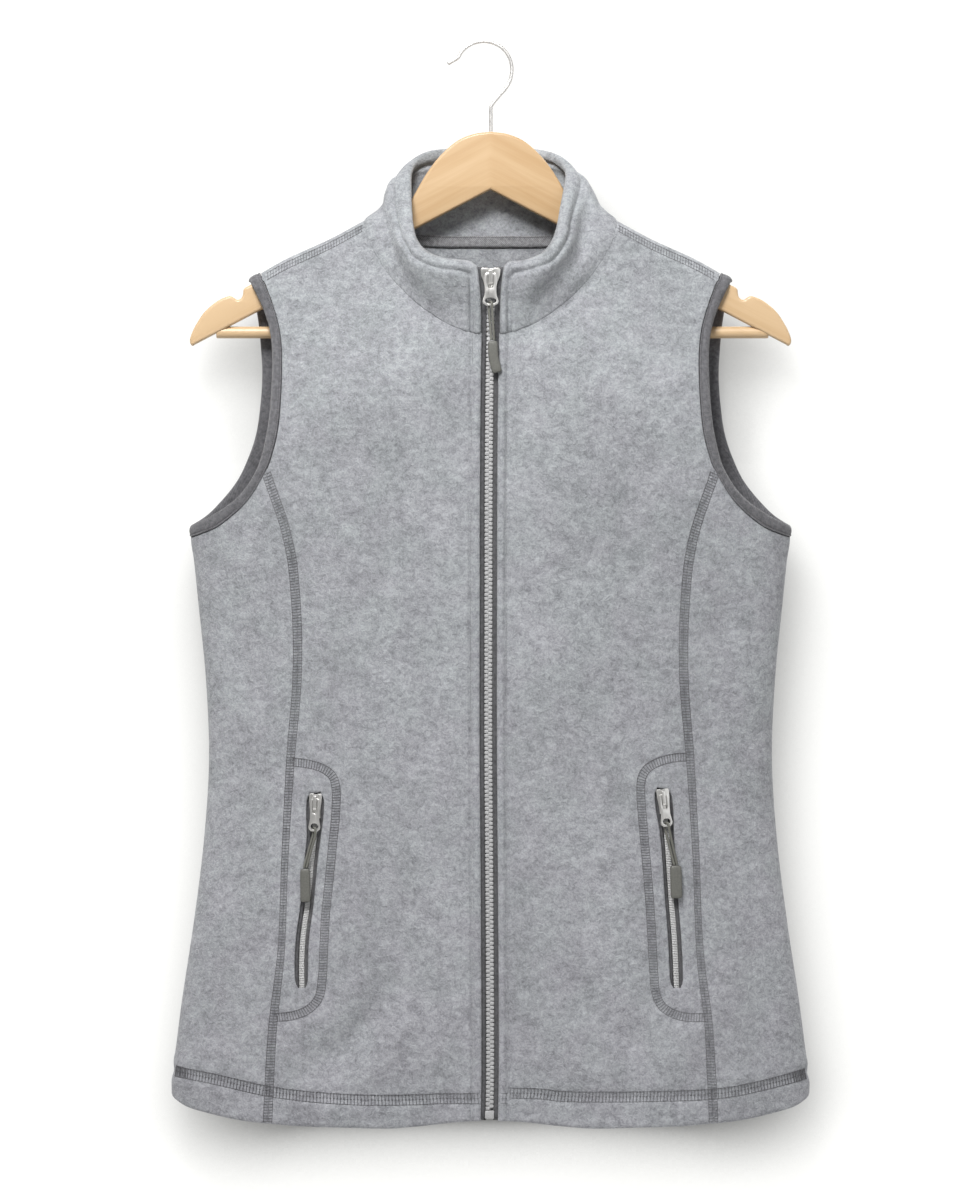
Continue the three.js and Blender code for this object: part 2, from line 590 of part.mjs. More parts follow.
/** One closed loop of binding: five points round its section at each station. */
function binding() {
  const edges = (face) => [run(armholeEdge(face, 'seam')), run(armholeEdge(face, 'open'))];
  const station = (face, [seamEdge, openEdge], t) => {
    const seam = clothAt(face, seamEdge(t).x, seamEdge(t).y);
    const open = clothAt(face, openEdge(t).x, openEdge(t).y);
    const across = open.point.clone().sub(seam.point).normalize();
    const start = towards(seam.point, across, SEAM);
    const middle = start.clone().lerp(open.point, 0.5);
    return [
      towards(start, seam.normal, BINDING_CROWN / 2), towards(middle, seam.normal, BINDING_CROWN),
      towards(open.point, open.normal, GAP), towards(open.point, open.normal, GAP - BINDING_IN),
      towards(start, seam.normal, -BINDING_IN),
    ];
  };
  const front = edges(FRONT);
  const back = edges(BACK);
  return [
    ...FRONT_ARM_STATIONS.map((t) => station(FRONT, front, t)),
    ...BACK_ARM_STATIONS.slice(1, -1).reverse().map((t) => station(BACK, back, t)),
  ];
}

// ---- Collar ----------------------------------------------------------------------------------

const SHOULDER_T = 0.56; // the collar's share between the zip and the shoulder seam
const NECK_TAPE_FROM = 0.66; // the neck tape runs across the back between here and its mirror
const COLLAR_STATIONS = [
  ...steps(0, SHOULDER_T, NECK_FRONT_STEPS),
  ...steps(SHOULDER_T, 1, NECK_BACK_STEPS).slice(1),
];

/** The neck seam round the right half, from the zip to the middle back. */
function neckLine(t) {
  const onFront = t <= SHOULDER_T;
  const p = onFront ? frontNeck(t / SHOULDER_T) : backNeck((1 - t) / (1 - SHOULDER_T));
  return clothAt(onFront ? FRONT : BACK, p.x, p.y).point;
}

const rimCurve = new THREE.CatmullRomCurve3(RIM.map((p) => new THREE.Vector3(...p)), false, 'centripetal');
const rimLine = byLength(rimCurve.getPoints(120));

/** The collar's outer face, right half: t runs from the zip to the middle back, v up to the rim. */
function collarFace(t, v) {
  const step = 0.02;
  const along = rimLine(t + step).sub(rimLine(t - step));
  const out = new THREE.Vector3(along.y, -along.x, 0).normalize();
  const swell = COLLAR_SWELL * smooth(t / 0.2) * 4 * v * (1 - v);
  const point = neckLine(t).lerp(towards(rimLine(t), out, COLLAR_CLOTH / 2), v);
  point.x += COLLAR_FLARE * (v ** 3 - v) * Math.exp((ZIP_GAP - point.x) / 10);
  return towards(point, out, swell);
}

function collarNormal(t, v) {
  const [dt, dv] = [0.006, 0.01];
  const around = collarFace(Math.min(t + dt, 1), v).sub(collarFace(Math.max(t - dt, 0), v));
  const up = collarFace(t, v + dv).sub(collarFace(t, v - dv));
  return around.cross(up).normalize();
}

/** A place on the collar, so far behind its outer face. */
const inCollar = (t, v, depth) => towards(collarFace(t, v), collarNormal(t, v), -depth);

/**
 * Rows of a ring round the neck. A row is a share of the collar's height, or a function of t that
 * gives one; `near` and `far` give the depths of the row's two faces behind the collar's.
 */
function neckRing(ts, vs, near, far) {
  const flip = (p) => new THREE.Vector3(-p.x, p.y, p.z);
  return vs.map((row) => {
    const right = ts.map((t) => {
      const v = typeof row === 'function' ? row(t) : row;
      return { outer: inCollar(t, v, near(row)), inner: inCollar(t, v, far(row)) };
    });
    const left = right.slice(0, -1).map((cell) => ({ outer: flip(cell.outer), inner: flip(cell.inner) }));
    return [...right, ...left.reverse()];
  });
}

function collar() {
  const vs = [0.004, 0.2, 0.45, 0.7, 0.93, 1];
  const rounding = (v) => (v === 1 ? RIM_ROUNDING : 0);
  return wall(neckRing(COLLAR_STATIONS, vs, rounding, (v) => COLLAR_CLOTH - rounding(v)));
}

function neckTape() {
  const heightAt = (t) => neckLine(t).distanceTo(rimLine(t));
  const rows = [0, 0.5, 1].map((u) => (t) => (2 * GAP + u * TAPE_WIDTH) / heightAt(t));
  const face = COLLAR_CLOTH + 1.5 * GAP;
  const ts = COLLAR_STATIONS.filter((t) => t > NECK_TAPE_FROM);
  return wall(neckRing(ts, rows, () => face, () => face + TAPE_CLOTH));
}

// ---- Zips ------------------------------------------------------------------------------------

/** Frames along the closed front, from the hem up to the collar's rim. */
function mainZipFrames(zs) {
  const neckZ = FRONT_NECK[0][1];
  const rimZ = RIM[0][2];
  const onFront = (z) => {
    const point = z < neckZ ? clothAtXZ(FRONT, 0, z).point : collarFace(0, (z - neckZ) / (rimZ - neckZ));
    return new THREE.Vector3(zipLean(z), point.y, z);
  };
  return zs.map((z) => {
    const along = onFront(z + 1).sub(onFront(z - 1));
    const across = new THREE.Vector3(1, 0, 0);
    return { point: onFront(z), normal: along.clone().cross(across).normalize().negate(), across, z };
  });
}

/** Frames along a pocket zip, from its foot up; `across` points to +X on both sides. */
function pocketZipFrames(pocket, zs) {
  const line = new Table(['z', 'x'], pocket.line.map(([x, z]) => [z, x]).reverse());
  const onPanel = (z) => clothAtXZ(FRONT, line.at(z, 'x'), z);
  const flip = (v) => new THREE.Vector3(pocket.side * v.x, v.y, v.z);
  return zs.map((z) => {
    const up = flip(onPanel(z + 2).point.sub(onPanel(z - 2).point)).normalize();
    const normal = flip(onPanel(z).normal);
    const across = up.clone().cross(normal).normalize();
    return { point: flip(onPanel(z).point), normal, across, z };
  });
}

/** A flat strip along frames: its sides at z are left(z) and right(z), its faces front and back. */
const strip = (frames, left, right, front, back) => loft(frames.map((frame) => {
  const corner = (side, depth) =>
    towards(towards(frame.point, frame.across, side(frame.z)), frame.normal, -depth);
  return [corner(left, front), corner(right, front), corner(right, back), corner(left, back)];
}));
const chainStrip = (frames, half, front, back) => strip(frames, () => -half, () => half, front, back);

const tapeDepth = (zip) => zip.panel + GAP;
const chainFront = (zip) => tapeDepth(zip) + zip.tape / 2 - zip.chain / 2;

const SLIDERS = {
  main: { zip: MAIN_ZIP, half: 7.3, waist: 4.3, bridge: 3.2, tab: 1, eye: 5.9 },
  pocket: { zip: POCKET_ZIP, half: 4.8, waist: 3.8, bridge: 2.4, tab: 0.8, eye: 4.4 },
};

/** The crossbar's middle, in front of the cloth's face. */
const pivotDepth = (kind) => chainFront(kind.zip) - GAP - PLATE - 1 - TAB / 2;

const bothSides = (half) => [...half, ...half.slice().reverse().map(([x, z]) => [-x, z])];

/**
 * The slider about its pivot: two plates on a wedge, and the bridge that holds the pull. The
 * bridge's side view is a list of [up, depth] corners: its outer line, then its inner one.
 */
function slider(kind) {
  const front = chainFront(kind.zip) - GAP;
  const back = chainFront(kind.zip) + kind.zip.chain + GAP;
  const outline = bothSides([
    [kind.half * 0.25, 3.4], [kind.half * 0.32, PIVOT_DROP], [kind.half * 0.85, PIVOT_DROP],
    [kind.half, 3.4], [kind.half * 0.95, -1], [lerp(kind.waist, kind.half, 0.25), -6],
    [kind.waist, -9], [kind.waist, PIVOT_DROP - PLATE_LENGTH],
  ]);
  const wedgeHalf = kind.zip.chainHalf * 0.8;
  const wedge = bothSides([[wedgeHalf, 4], [wedgeHalf * 0.6, -1.5], [0.2, -3.5]]);
  const far = pivotDepth(kind) - TAB / 2 - 1.6;
  const foot = front - PLATE + WELD;
  const under = far + 1.15;
  const arch = new THREE.Shape([
    [3.6, foot], [3.6, far + 1], [2.6, far], [-6.2, far], [-7.4, far + 1], [-7.4, foot],
    [-6.3, foot], [-6.3, under + 0.45], [-5.8, under], [1.9, under], [2.4, under + 0.45], [2.4, foot],
  ].map(([z, depth]) => new THREE.Vector2(depth, z)));
  const bridge = new THREE.ExtrudeGeometry(arch, { depth: kind.bridge, bevelEnabled: false });
  bridge.translate(0, 0, -kind.bridge / 2);
  bridge.applyMatrix4(new THREE.Matrix4().makeBasis(
    new THREE.Vector3(0, 1, 0), new THREE.Vector3(0, 0, 1), new THREE.Vector3(1, 0, 0)));
  return joined(
    plate(outline, front - PLATE, front),
    plate(outline, back, back + PLATE),
    plate(wedge, front - WELD, back + WELD),
    bridge,
  );
}

/** The metal pull tab about the pivot, with a window round the bridge and an eye for the cord. */
function puller(kind) {
  const depth = pivotDepth(kind);
  const k = kind.tab;
  const outline = bothSides([
    [3.4 * k, 0.8], [4.3 * k, 0], [4.6 * k, -6], [4.3 * k, -10], [4.15 * k, -13], [4.6 * k, -16],
    [kind.eye * 0.92, -18], [kind.eye, -20], [kind.eye * 0.92, -21.8], [kind.eye * 0.5, -23.3],
  ]);
  const window = bothSides([[2.15 * k + 0.1, -0.7], [2.15 * k + 0.1, -8.6], [1.4 * k, -10.2]]);
  const eye = steps(0, 1, 12).slice(0, -1).map((t) =>
    [Math.cos(2 * Math.PI * t) * (kind.eye - 1.6), -19.6 + Math.sin(2 * Math.PI * t) * 2.4]);
  return cut(
    plate(outline, depth - TAB / 2, depth + TAB / 2),
    plate(window, depth - TAB, depth + TAB),
    plate(eye, depth - TAB, depth + TAB),
  );
}

/** The loop of cord through the eye: up in front of its lower edge and down behind it. */
function pullCord(kind, grip, side) {
  const depth = pivotDepth(kind);
  const [x, z] = grip[0];
  const end = z + 2 * GAP;
  const gripDepth = -GRIP_BACK - GRIP_THICK / 2;
  const middle = (-25.5 + end) / 2;
  const points = [
    [side * x + 1, gripDepth, end], [side * x * 0.5 + 1.05, lerp(gripDepth, depth - 1.9, 0.6), middle],
    [1.2, depth - 1.9, -25.5], [1.05, depth - 2, -22.9], [0.7, depth - 1.5, -21],
    [0, depth, -20.5],
    [-0.7, depth + 1.5, -21], [-1.05, depth + 2, -22.9], [-1.2, depth + 1.8, -25.5],
    [side * x * 0.5 - 1.05, lerp(gripDepth, depth + 1.9, 0.5), middle], [side * x - 1, gripDepth, end],
  ];
  return tube(points.map((p) => new THREE.Vector3(...p)), CORD, 8, 26);
}

/** The grip's width and thickness along it, and its section, as shares of its half sizes. */
const GRIP_ALONG = [[0, 0.62, 0.62], [0.06, 0.92, 0.9], [0.3, 1, 1], [0.6, 1, 1], [0.88, 1, 1],
  [1, 0.7, 0.6]];
const GRIP_CORNER = [[-1, 0.45], [-0.75, 1], [0.75, 1], [1, 0.45]];
const GRIP_SECTION = [...GRIP_CORNER, ...GRIP_CORNER.map(([a, d]) => [-a, -d])];

/** The moulded grip at the cord's end: a soft bar along its middle line. */
function pullGrip(grip, side) {
  const line = run(grip.map(([x, z]) => new THREE.Vector2(side * x, z)));
  return loft(GRIP_ALONG.map(([t, wide, thick]) => {
    const along = line(t + 0.02).sub(line(t - 0.02)).normalize();
    const across = new THREE.Vector3(-along.y, 0, along.x);
    const middle = new THREE.Vector3(line(t).x, -GRIP_BACK - GRIP_THICK / 2, line(t).y);
    return GRIP_SECTION.map(([a, d]) =>
      towards(middle, across, a * GRIP_HALF * wide).setY(middle.y + (d * thick * GRIP_THICK) / 2));
  }));
}

// ---- Pocket parts ----------------------------------------------------------------------------

function slitTool(pocket) {
  const line = new Table(['z', 'x'], pocket.line.map(([x, z]) => [z, x]).reverse());
  const top = pocket.pivotZ + SLIT_ABOVE_PIVOT;
  const shares = [0, 0.03, ...steps(0.15, 0.75, 4), 0.88, 0.975, 1];
  const edge = (sign) => shares.map((share) => {
    const z = lerp(SLIT_FOOT, top, share);
    return [pocket.side * (line.at(z, 'x') + sign * SLIT.at(share, 'half')), z];
  });
  return plate([...edge(1), ...edge(-1).reverse()], -80, -8);
}

/** The pocket bag behind the panel: it rests on the panel along its edge and hangs clear inside. */
function pocketBag(side) {
  const foot = BAG.rows[0][0];
  const head = BAG.rows[BAG.rows.length - 1][0];
  const zs = [...steps(foot, -697, 3), ...steps(-664, -565, 4), ...steps(-549, head, 2)];
  return wall(zs.map((z) => [0, 0.22, 0.5, 0.78, 1].map((u) => {
    const near = BAG.at(z, 'x');
    const far = PRINCESS.at(z, 'x') - 1.5;
    const x = lerp(near, far, u);
    const reach = Math.min(x - near, far - x, z - foot, head - z);
    const depth = lerp(BAG_REST, BAG_DEPTH, smooth(reach / BAG_EASE));
    const { point, normal } = clothAtXZ(FRONT, x, z);
    const at = (d) => towards(point, normal, -d).multiply(new THREE.Vector3(side, 1, 1));
    return { outer: at(depth), inner: at(depth + BAG_CLOTH) };
  })));
}

// ---- Hanger ----------------------------------------------------------------------------------

function hangerBody() {
  const half = [
    [0, WOOD_TOP], [12, -66.6], [24.5, -71.7], [38.6, -84.3], [48.2, -97.3], [55.7, -110.3],
    [60.5, -118.5], [67, -125.5], [80, -133], [94, -139.8], [140, -161], [177.1, -178.2], [182.9, -181.6],
    [184.2, -187.6], [188, -189.6], [192.8, -186.9], [202.2, -190.4], [211.8, -198.3],
    [218.5, -208.2], [222.6, -217.5], [222.4, WOOD_APEX - WOOD_ARM_SLOPE * 221.9],
  ];
  const outline = [...half, [0, WOOD_APEX], ...half.slice(1).reverse().map(([x, z]) => [-x, z])];
  const shape = new THREE.Shape(outline.map(([x, z]) => new THREE.Vector2(x, z)));
  const body = new THREE.ExtrudeGeometry(shape, {
    depth: WOOD - 2 * WOOD_EDGE, bevelEnabled: true, bevelThickness: WOOD_EDGE, bevelSize: WOOD_EDGE,
    bevelOffset: -WOOD_EDGE, bevelSegments: 2, curveSegments: 1,
  });
  body.rotateX(Math.PI / 2);
  body.translate(0, WOOD / 2 - WOOD_EDGE, 0);
  const boreRadius = HOOK_WIRE / 2 + GAP;
  const above = 10; // the boring tool starts this far above the wood
  const bore = new THREE.CylinderGeometry(boreRadius, boreRadius, HOOK_SEAT + above, 10);
  bore.rotateX(Math.PI / 2);
  bore.translate(STEM_X, 0, WOOD_TOP + (above - HOOK_SEAT) / 2);
  return cut(body, dowel(GAP), bore);
}

/** The bar across the arms, or its socket when `clearance` is more than nothing. */
function dowel(clearance) {
  const radius = BAR.radius + clearance;
  const bar = new THREE.CylinderGeometry(radius, radius, BAR.right - BAR.left + 2 * clearance, 16);
  bar.rotateZ(Math.PI / 2);
  bar.translate((BAR.left + BAR.right) / 2, 0, BAR.z);
  return bar;
}

/** The hook: a stem set in the wood, a bend to +X, the round that bears on a rail, and its tip. */
function hangerHook() {
  const stem = [[STEM_X, WOOD_TOP - HOOK_SEAT + GAP], [STEM_X, -66], [STEM_X, -54]];
  const bend = [[0.6, -46], [2.4, -43], [6.8, -37.8], [11.5, -32.5], [14.5, -27]];
  const round = steps(-5, 155, 14).map((degrees) => {
    const angle = THREE.MathUtils.degToRad(degrees);
    return [HOOK_CENTRE.x + HOOK_RADIUS * Math.cos(angle), HOOK_CENTRE.z + HOOK_RADIUS * Math.sin(angle)];
  });
  const tip = [[-26.6, -11.4], [-30.8, -13.8]];
  const points = [...stem, ...bend, ...round, ...tip].map(([x, z]) => new THREE.Vector3(x, 0, z));
  return tube(points, HOOK_WIRE, 8, 36);
}

// ---- The part --------------------------------------------------------------------------------

const part = new THREE.Group();

function node(name, geometry, material, parent = part) {
  const mesh = new THREE.Mesh(geometry, material);
  mesh.name = name;
  parent.add(mesh);
}

const mirrorRows = (grid) => grid.map((row) => row.map(mirrored));

for (const pocket of POCKETS) {
  const { side, name } = pocket;
  const turned = (grid) => (side > 0 ? grid : mirrorRows(grid));
  const centre = frontCentre(side);
  drawIn(centre, { outer: true, top: true });
  node(`front_centre_${name}`, cut(clothWall(turned(centre), FRONT, CLOTH), slitTool(pocket)), FLEECE);
  const sidePanel = frontSide();
  drawIn(sidePanel, { inner: true, outer: true, top: true });
  node(`front_side_${name}`, clothWall(turned(sidePanel), FRONT, CLOTH), FLEECE);
  const loop = binding().map((ring) => ring.map((p) => new THREE.Vector3(side * p.x, p.y, p.z)));
  node(`armhole_binding_${name}`, loft(loop, true), TRIM);
  node(`pocket_bag_${name}`, pocketBag(side), FLEECE);
}

const back = backPanel();
back.forEach((row) => row.reverse());
drawIn(back, { inner: true, outer: true, top: true });
node('back', clothWall(back, BACK, CLOTH), FLEECE);
node('collar', collar(), FLEECE);
node('neck_tape', neckTape(), TRIM);

/**
 * The two tapes and the chain of a zip, for `names`: the tape towards +X, the tape towards -X and
 * the chain. `edge` gives how far out each tape reaches at z.
 */
function zipNodes(names, zip, frames, chainFrames, edge) {
  const front = tapeDepth(zip);
  const back = front + zip.tape;
  const inner = () => zip.tapeInner;
  node(names[0], strip(frames, inner, edge, front, back), DARK_TAPE);
  node(names[1], strip(frames, (z) => -edge(z), () => -zip.tapeInner, front, back), DARK_TAPE);
  const depth = chainFront(zip);
  node(names[2], chainStrip(chainFrames, zip.chainHalf, depth, depth + zip.chain), TEETH);
}

/** The slider on its zip, and its pull: metal tab, cord and grip, turned out by `lean` degrees. */
function pullNodes(prefix, suffix, kind, frame, grip, side, lean) {
  const group = new THREE.Group();
  const inward = frame.normal.clone().negate();
  const up = frame.across.clone().cross(inward);
  group.quaternion.setFromRotationMatrix(new THREE.Matrix4().makeBasis(frame.across, inward, up));
  group.position.copy(frame.point);
  part.add(group);
  const hinge = new THREE.Group();
  hinge.position.set(0, pivotDepth(kind), 0);
  hinge.rotation.x = THREE.MathUtils.degToRad(-lean);
  const pull = new THREE.Group();
  pull.position.set(0, -pivotDepth(kind), 0);
  group.add(hinge);
  hinge.add(pull);
  node(`${prefix}_slider${suffix}`, slider(kind), SILVER, group);
  node(`${prefix}_puller${suffix}`, puller(kind), SILVER, pull);
  node(`${prefix}_pull_cord${suffix}`, pullCord(kind, grip, side), GRIP, pull);
  node(`${prefix}_pull_grip${suffix}`, pullGrip(grip, side), GRIP, pull);
}

// Below the neck seam the main tapes are 17 mm wide; above it they end beside the collar's edges.
const NECK_Z = FRONT_NECK[0][1];
const mainTapeEdge = (z) => {
  const v = clamp01((z - NECK_Z) / (RIM[0][2] - NECK_Z));
  return z < NECK_Z ? MAIN_ZIP.tapeEdge : ZIP_GAP + COLLAR_FLARE * v ** 3 - GAP;
};
const belowNeck = NECK_Z - 1.7; // the tape's last wide frame
const aboveNeck = NECK_Z - 0.4; // and its first narrow one
const mainTapeFrames = [
  ...mainZipFrames(steps(ZIP_FOOT, belowNeck, 20)),
  ...mainZipFrames(steps(aboveNeck, RIM[0][2] - 0.8, 8)),
];
const mainChainFrames = mainZipFrames([
  ...steps(BOX.top + GAP, belowNeck, 20),
  ...steps(NECK_Z + 5.8, MAIN_PIVOT_Z - CHAIN_BELOW_PIVOT, 4),
]);
zipNodes(['zip_tape_right', 'zip_tape_left', 'zip_chain'], MAIN_ZIP, mainTapeFrames, mainChainFrames,
  (z) => (z < aboveNeck ? MAIN_ZIP.tapeEdge : mainTapeEdge(Math.max(z, NECK_Z))));
node('zip_box', chainStrip(mainZipFrames([BOX.foot, BOX.top]), BOX.half, BOX.front, BOX.back), TEETH);
pullNodes('zip', '', SLIDERS.main, mainZipFrames([MAIN_PIVOT_Z])[0], MAIN_GRIP, 1, MAIN_PULL_LEAN);

for (const pocket of POCKETS) {
  const { name, pivotZ, side } = pocket;
  const tapes = [`pocket_tape_outer_${name}`, `pocket_tape_inner_${name}`];
  const names = [...(side > 0 ? tapes : tapes.reverse()), `pocket_chain_${name}`];
  const tapeFrames = pocketZipFrames(pocket, steps(SLIT_FOOT - 4, pocket.line[0][1], 12));
  const chainFrames = pocketZipFrames(pocket, steps(SLIT_FOOT + 2, pivotZ - CHAIN_BELOW_PIVOT, 10));
  zipNodes(names, POCKET_ZIP, tapeFrames, chainFrames, () => POCKET_ZIP.tapeEdge);
  const frame = pocketZipFrames(pocket, [pivotZ])[0];
  pullNodes('pocket', `_${name}`, SLIDERS.pocket, frame, pocket.grip, side, 0);
}

node('hanger_body', hangerBody(), BEECH);
node('hanger_bar', dowel(0), BEECH);
node('hanger_hook', hangerHook(), NICKEL);

export default part;
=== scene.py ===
"""A women's fleece zip vest on a flat wooden clothes hanger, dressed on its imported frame.

Tables, sizes and places are millimetres in the frame's axes: +X to the viewer's right, -Y the
way the front faces and +Z up, from the inner top of the hanger's hook. Meshes are in metres.
"""
import sys
import functools
import logging
import math
from dataclasses import dataclass, field
from enum import Enum
from typing import Any, Callable, Sequence

import bmesh
import bpy
import numpy as np
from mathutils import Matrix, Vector


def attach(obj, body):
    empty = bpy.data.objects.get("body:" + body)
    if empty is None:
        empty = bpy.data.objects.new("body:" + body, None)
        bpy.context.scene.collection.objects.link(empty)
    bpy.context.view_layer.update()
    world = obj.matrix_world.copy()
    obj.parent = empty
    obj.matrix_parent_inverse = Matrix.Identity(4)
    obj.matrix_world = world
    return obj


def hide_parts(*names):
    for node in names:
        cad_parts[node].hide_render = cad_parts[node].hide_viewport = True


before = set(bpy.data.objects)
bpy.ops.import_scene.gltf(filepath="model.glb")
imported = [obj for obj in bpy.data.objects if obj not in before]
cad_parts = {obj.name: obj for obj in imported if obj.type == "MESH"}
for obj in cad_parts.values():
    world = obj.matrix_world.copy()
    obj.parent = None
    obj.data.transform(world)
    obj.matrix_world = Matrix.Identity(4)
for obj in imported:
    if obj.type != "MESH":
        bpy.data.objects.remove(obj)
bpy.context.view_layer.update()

log = logging.getLogger("vest")
Array = np.ndarray
Point = Sequence[float]
Places = Callable[[Array], Array]
Path = tuple[Point, ...]

MM = 0.001
VEST = "vest_and_hanger"


# ---- Numbers and curves ----------------------------------------------------------------------


def smooth(t: Array) -> Array:
    """Return t held between 0 and 1 and eased at both ends."""
    t = np.clip(t, 0, 1)
    return t * t * (3 - 2 * t)


def lerp(a: Any, b: Any, t: Any) -> Any:
    """Return the value a share t of the way from a to b."""
    return a + (b - a) * t


def unit(v: Array) -> Array:
    """Return vectors at length 1."""
    return v / np.maximum(np.linalg.norm(v, axis=-1, keepdims=True), 1e-12)


def bell(distance: Array, width: float) -> Array:
    """Return a bell of height 1 over a distance, falling away beyond the width."""
    return np.exp(-((distance / width) ** 2))


def eased_step(s: Array, start: Array, end: Array, out: Array, back: Array) -> Array:
    """Step smoothly from one value to the next.

    Args:
        s: Shares of the step, 0 to 1.
        start: The value where it starts.
        end: The value where it ends.
        out: The slope it leaves with, over the whole step.
        back: The slope it arrives with, over the whole step.

    Returns:
        The values at s.
    """
    value = (2 * s**3 - 3 * s**2 + 1) * start + (3 * s**2 - 2 * s**3) * end
    return value + (s**3 - 2 * s**2 + s) * out + (s**3 - s**2) * back


class Table:
    """Rows of numbers under named columns, in rising order of the first, read smoothly."""

    def __init__(self, columns: str, rows: Sequence[Point]) -> None:
        """Keep the column names, given as one string, and the rows."""
        self.columns = columns.split()
        self.rows = np.array(rows, dtype=float)

    def at(self, place: Array, column: str) -> Array:
        """Read a column.

        Args:
            place: Values of the first column. Beyond the ends the table runs on straight.
            column: The name of the column to read.

        Returns:
            The column's values at those places.
        """
        start, values = self.rows[:, 0], self.rows[:, self.columns.index(column)]
        place = np.asarray(place, dtype=float)
        last = len(start) - 1
        rank = np.arange(last + 1)
        ahead, behind = np.minimum(rank + 1, last), np.maximum(rank - 1, 0)
        slope = (values[ahead] - values[behind]) / (start[ahead] - start[behind])
        i = np.clip(np.searchsorted(start, place, "right") - 1, 0, last - 1)
        span = start[i + 1] - start[i]
        t = (place - start[i]) / span
        s = np.clip(t, 0, 1)
        value = eased_step(s, values[i], values[i + 1], slope[i] * span, slope[i + 1] * span)
        under, over = np.minimum(t, 0), np.maximum(t - 1, 0)
        return value + under * span * slope[0] + over * span * slope[last]


class Run:
    """A smooth run through points, with an equal share of 0..1 for each stretch."""

    def __init__(self, points: Sequence[Point]) -> None:
        """Keep the points, in any number of dimensions."""
        self.points = np.array(points, dtype=float)

    def __call__(self, t: Array) -> Array:
        """Return the points at shares t of the run."""
        p, last = self.points, len(self.points) - 1
        place = np.clip(np.asarray(t, dtype=float), 0, 1) * last
        i = np.minimum(place.astype(int), last - 1)
        s = (place - i)[..., None]
        before, after = p[np.maximum(i - 1, 0)], p[np.minimum(i + 2, last)]
        out, back = (p[i + 1] - before) / 2, (after - p[i]) / 2
        return eased_step(s, p[i], p[i + 1], out, back)


def soft_line(points: Sequence[Point], count: int) -> Array:
    """Draw a curve through unevenly spaced points that doesn't swing wide between them.

    Args:
        points: The points it passes through.
        count: The number of steps, shared equally among the stretches.

    Returns:
        The points of the curve.
    """
    p = np.array(points, dtype=float)
    p = np.vstack([2 * p[0] - p[1], p, 2 * p[-1] - p[-2]])
    place = np.linspace(0, len(p) - 3, count + 1)
    i = np.minimum(place.astype(int), len(p) - 4)
    s = (place - i)[:, None]
    a, b, c, d = p[i], p[i + 1], p[i + 2], p[i + 3]
    ab, bc, cd = (np.linalg.norm(q - r, axis=1)[:, None] ** 0.5 for q, r in ((b, a), (c, b), (d, c)))
    out = ((b - a) / ab - (c - a) / (ab + bc) + (c - b) / bc) * bc
    back = ((c - b) / bc - (d - b) / (bc + cd) + (d - c) / cd) * bc
    return eased_step(s, b, c, out, back)


def lengths(points: Array) -> Array:
    """Return the distance along a line of points to each of them."""
    return np.concatenate([[0], np.cumsum(np.linalg.norm(np.diff(points, axis=0), axis=1))])


def by_length(points: Array, marks: Array) -> Array:
    """Return the points of a line at distances along it."""
    far = lengths(points)
    return np.stack([np.interp(marks, far, points[:, k]) for k in range(points.shape[1])], axis=-1)


def paced(points: Array, pace: float, inset: float = 0.0) -> Array:
    """Step along a line.

    Args:
        points: The line.
        pace: The wanted distance between steps, which is fitted to the line.
        inset: How far from each end the first and last steps lie.

    Returns:
        The places of the steps.
    """
    total = lengths(points)[-1]
    count = max(int(round((total - 2 * inset) / pace)), 1)
    return by_length(points, np.linspace(inset, total - inset, count + 1))


def chain(runs: Sequence[Places], ends: Point) -> Places:
    """Join runs end to end.

    Args:
        runs: The runs, each a function of 0..1.
        ends: The share of the whole at which each run ends.

    Returns:
        The whole run as one function of 0..1.
    """
    def whole(t: Array) -> Array:
        """Return the places at shares t of the joined run."""
        starts = [0, *ends[:-1]]
        pick = np.minimum(np.searchsorted(ends, t - 1e-9), len(ends) - 1)
        values = [run((t - a) / (b - a)) for run, a, b in zip(runs, starts, ends)]
        return np.stack(values)[pick, np.arange(len(t))]
    return whole


def patch(bottom: Places, top: Places, inner: Places, outer: Places, us: Array, vs: Array) -> Array:
    """Fill a four-sided patch between its edges.

    Args:
        bottom: The lower edge, from the inner side to the outer.
        top: The upper edge, the same way.
        inner: The inner side, upwards.
        outer: The outer side, upwards.
        us: Shares across the patch.
        vs: Shares up the patch.

    Returns:
        Rows of places, one row for each of vs.
    """
    u, v, ends = us[None, :, None], vs[:, None, None], np.array([0.0, 1.0])
    (b0, b1), (t0, t1) = bottom(ends), top(ends)
    sides = bottom(us)[None] * (1 - v) + top(us)[None] * v
    sides = sides + inner(vs)[:, None] * (1 - u) + outer(vs)[:, None] * u
    return sides - (b0 * (1 - u) + b1 * u) * (1 - v) - (t0 * (1 - u) + t1 * u) * v


RIM_ROWS = (0, 0.15, 0.5, 1.1, 2.1)
MARK_ROWS = (-2.4, -1.2, 0, 1.2, 2.4)


def shares(length: float, pace: float, marks: Sequence[float] = ()) -> Array:
    """Space out the rows or columns of a cloth.

    Args:
        length: The length of the edge.
        pace: The distance between rows in the open cloth.
        marks: Distances from the start where a sewn line needs close rows.

    Returns:
        Shares of the edge, closer together at both ends and round the marks.
    """
    beside = [m + np.array(MARK_ROWS) for m in marks]
    rim = np.array(RIM_ROWS)
    close = np.concatenate([rim, length - rim, *beside])
    even = np.linspace(0, length, max(int(length / pace), 2) + 1)
    gaps = np.abs(even[:, None] - close[None]).min(axis=1)
    return np.unique(np.concatenate([close, even[gaps > 0.45 * pace]]).clip(0, length)) / length


# ---- The form of the vest --------------------------------------------------------------------


class Face(Enum):
    """The two faces of the vest's body: the column that holds the depth, and its sign in Y."""

    FRONT = ("front", -1)
    BACK = ("back", 1)


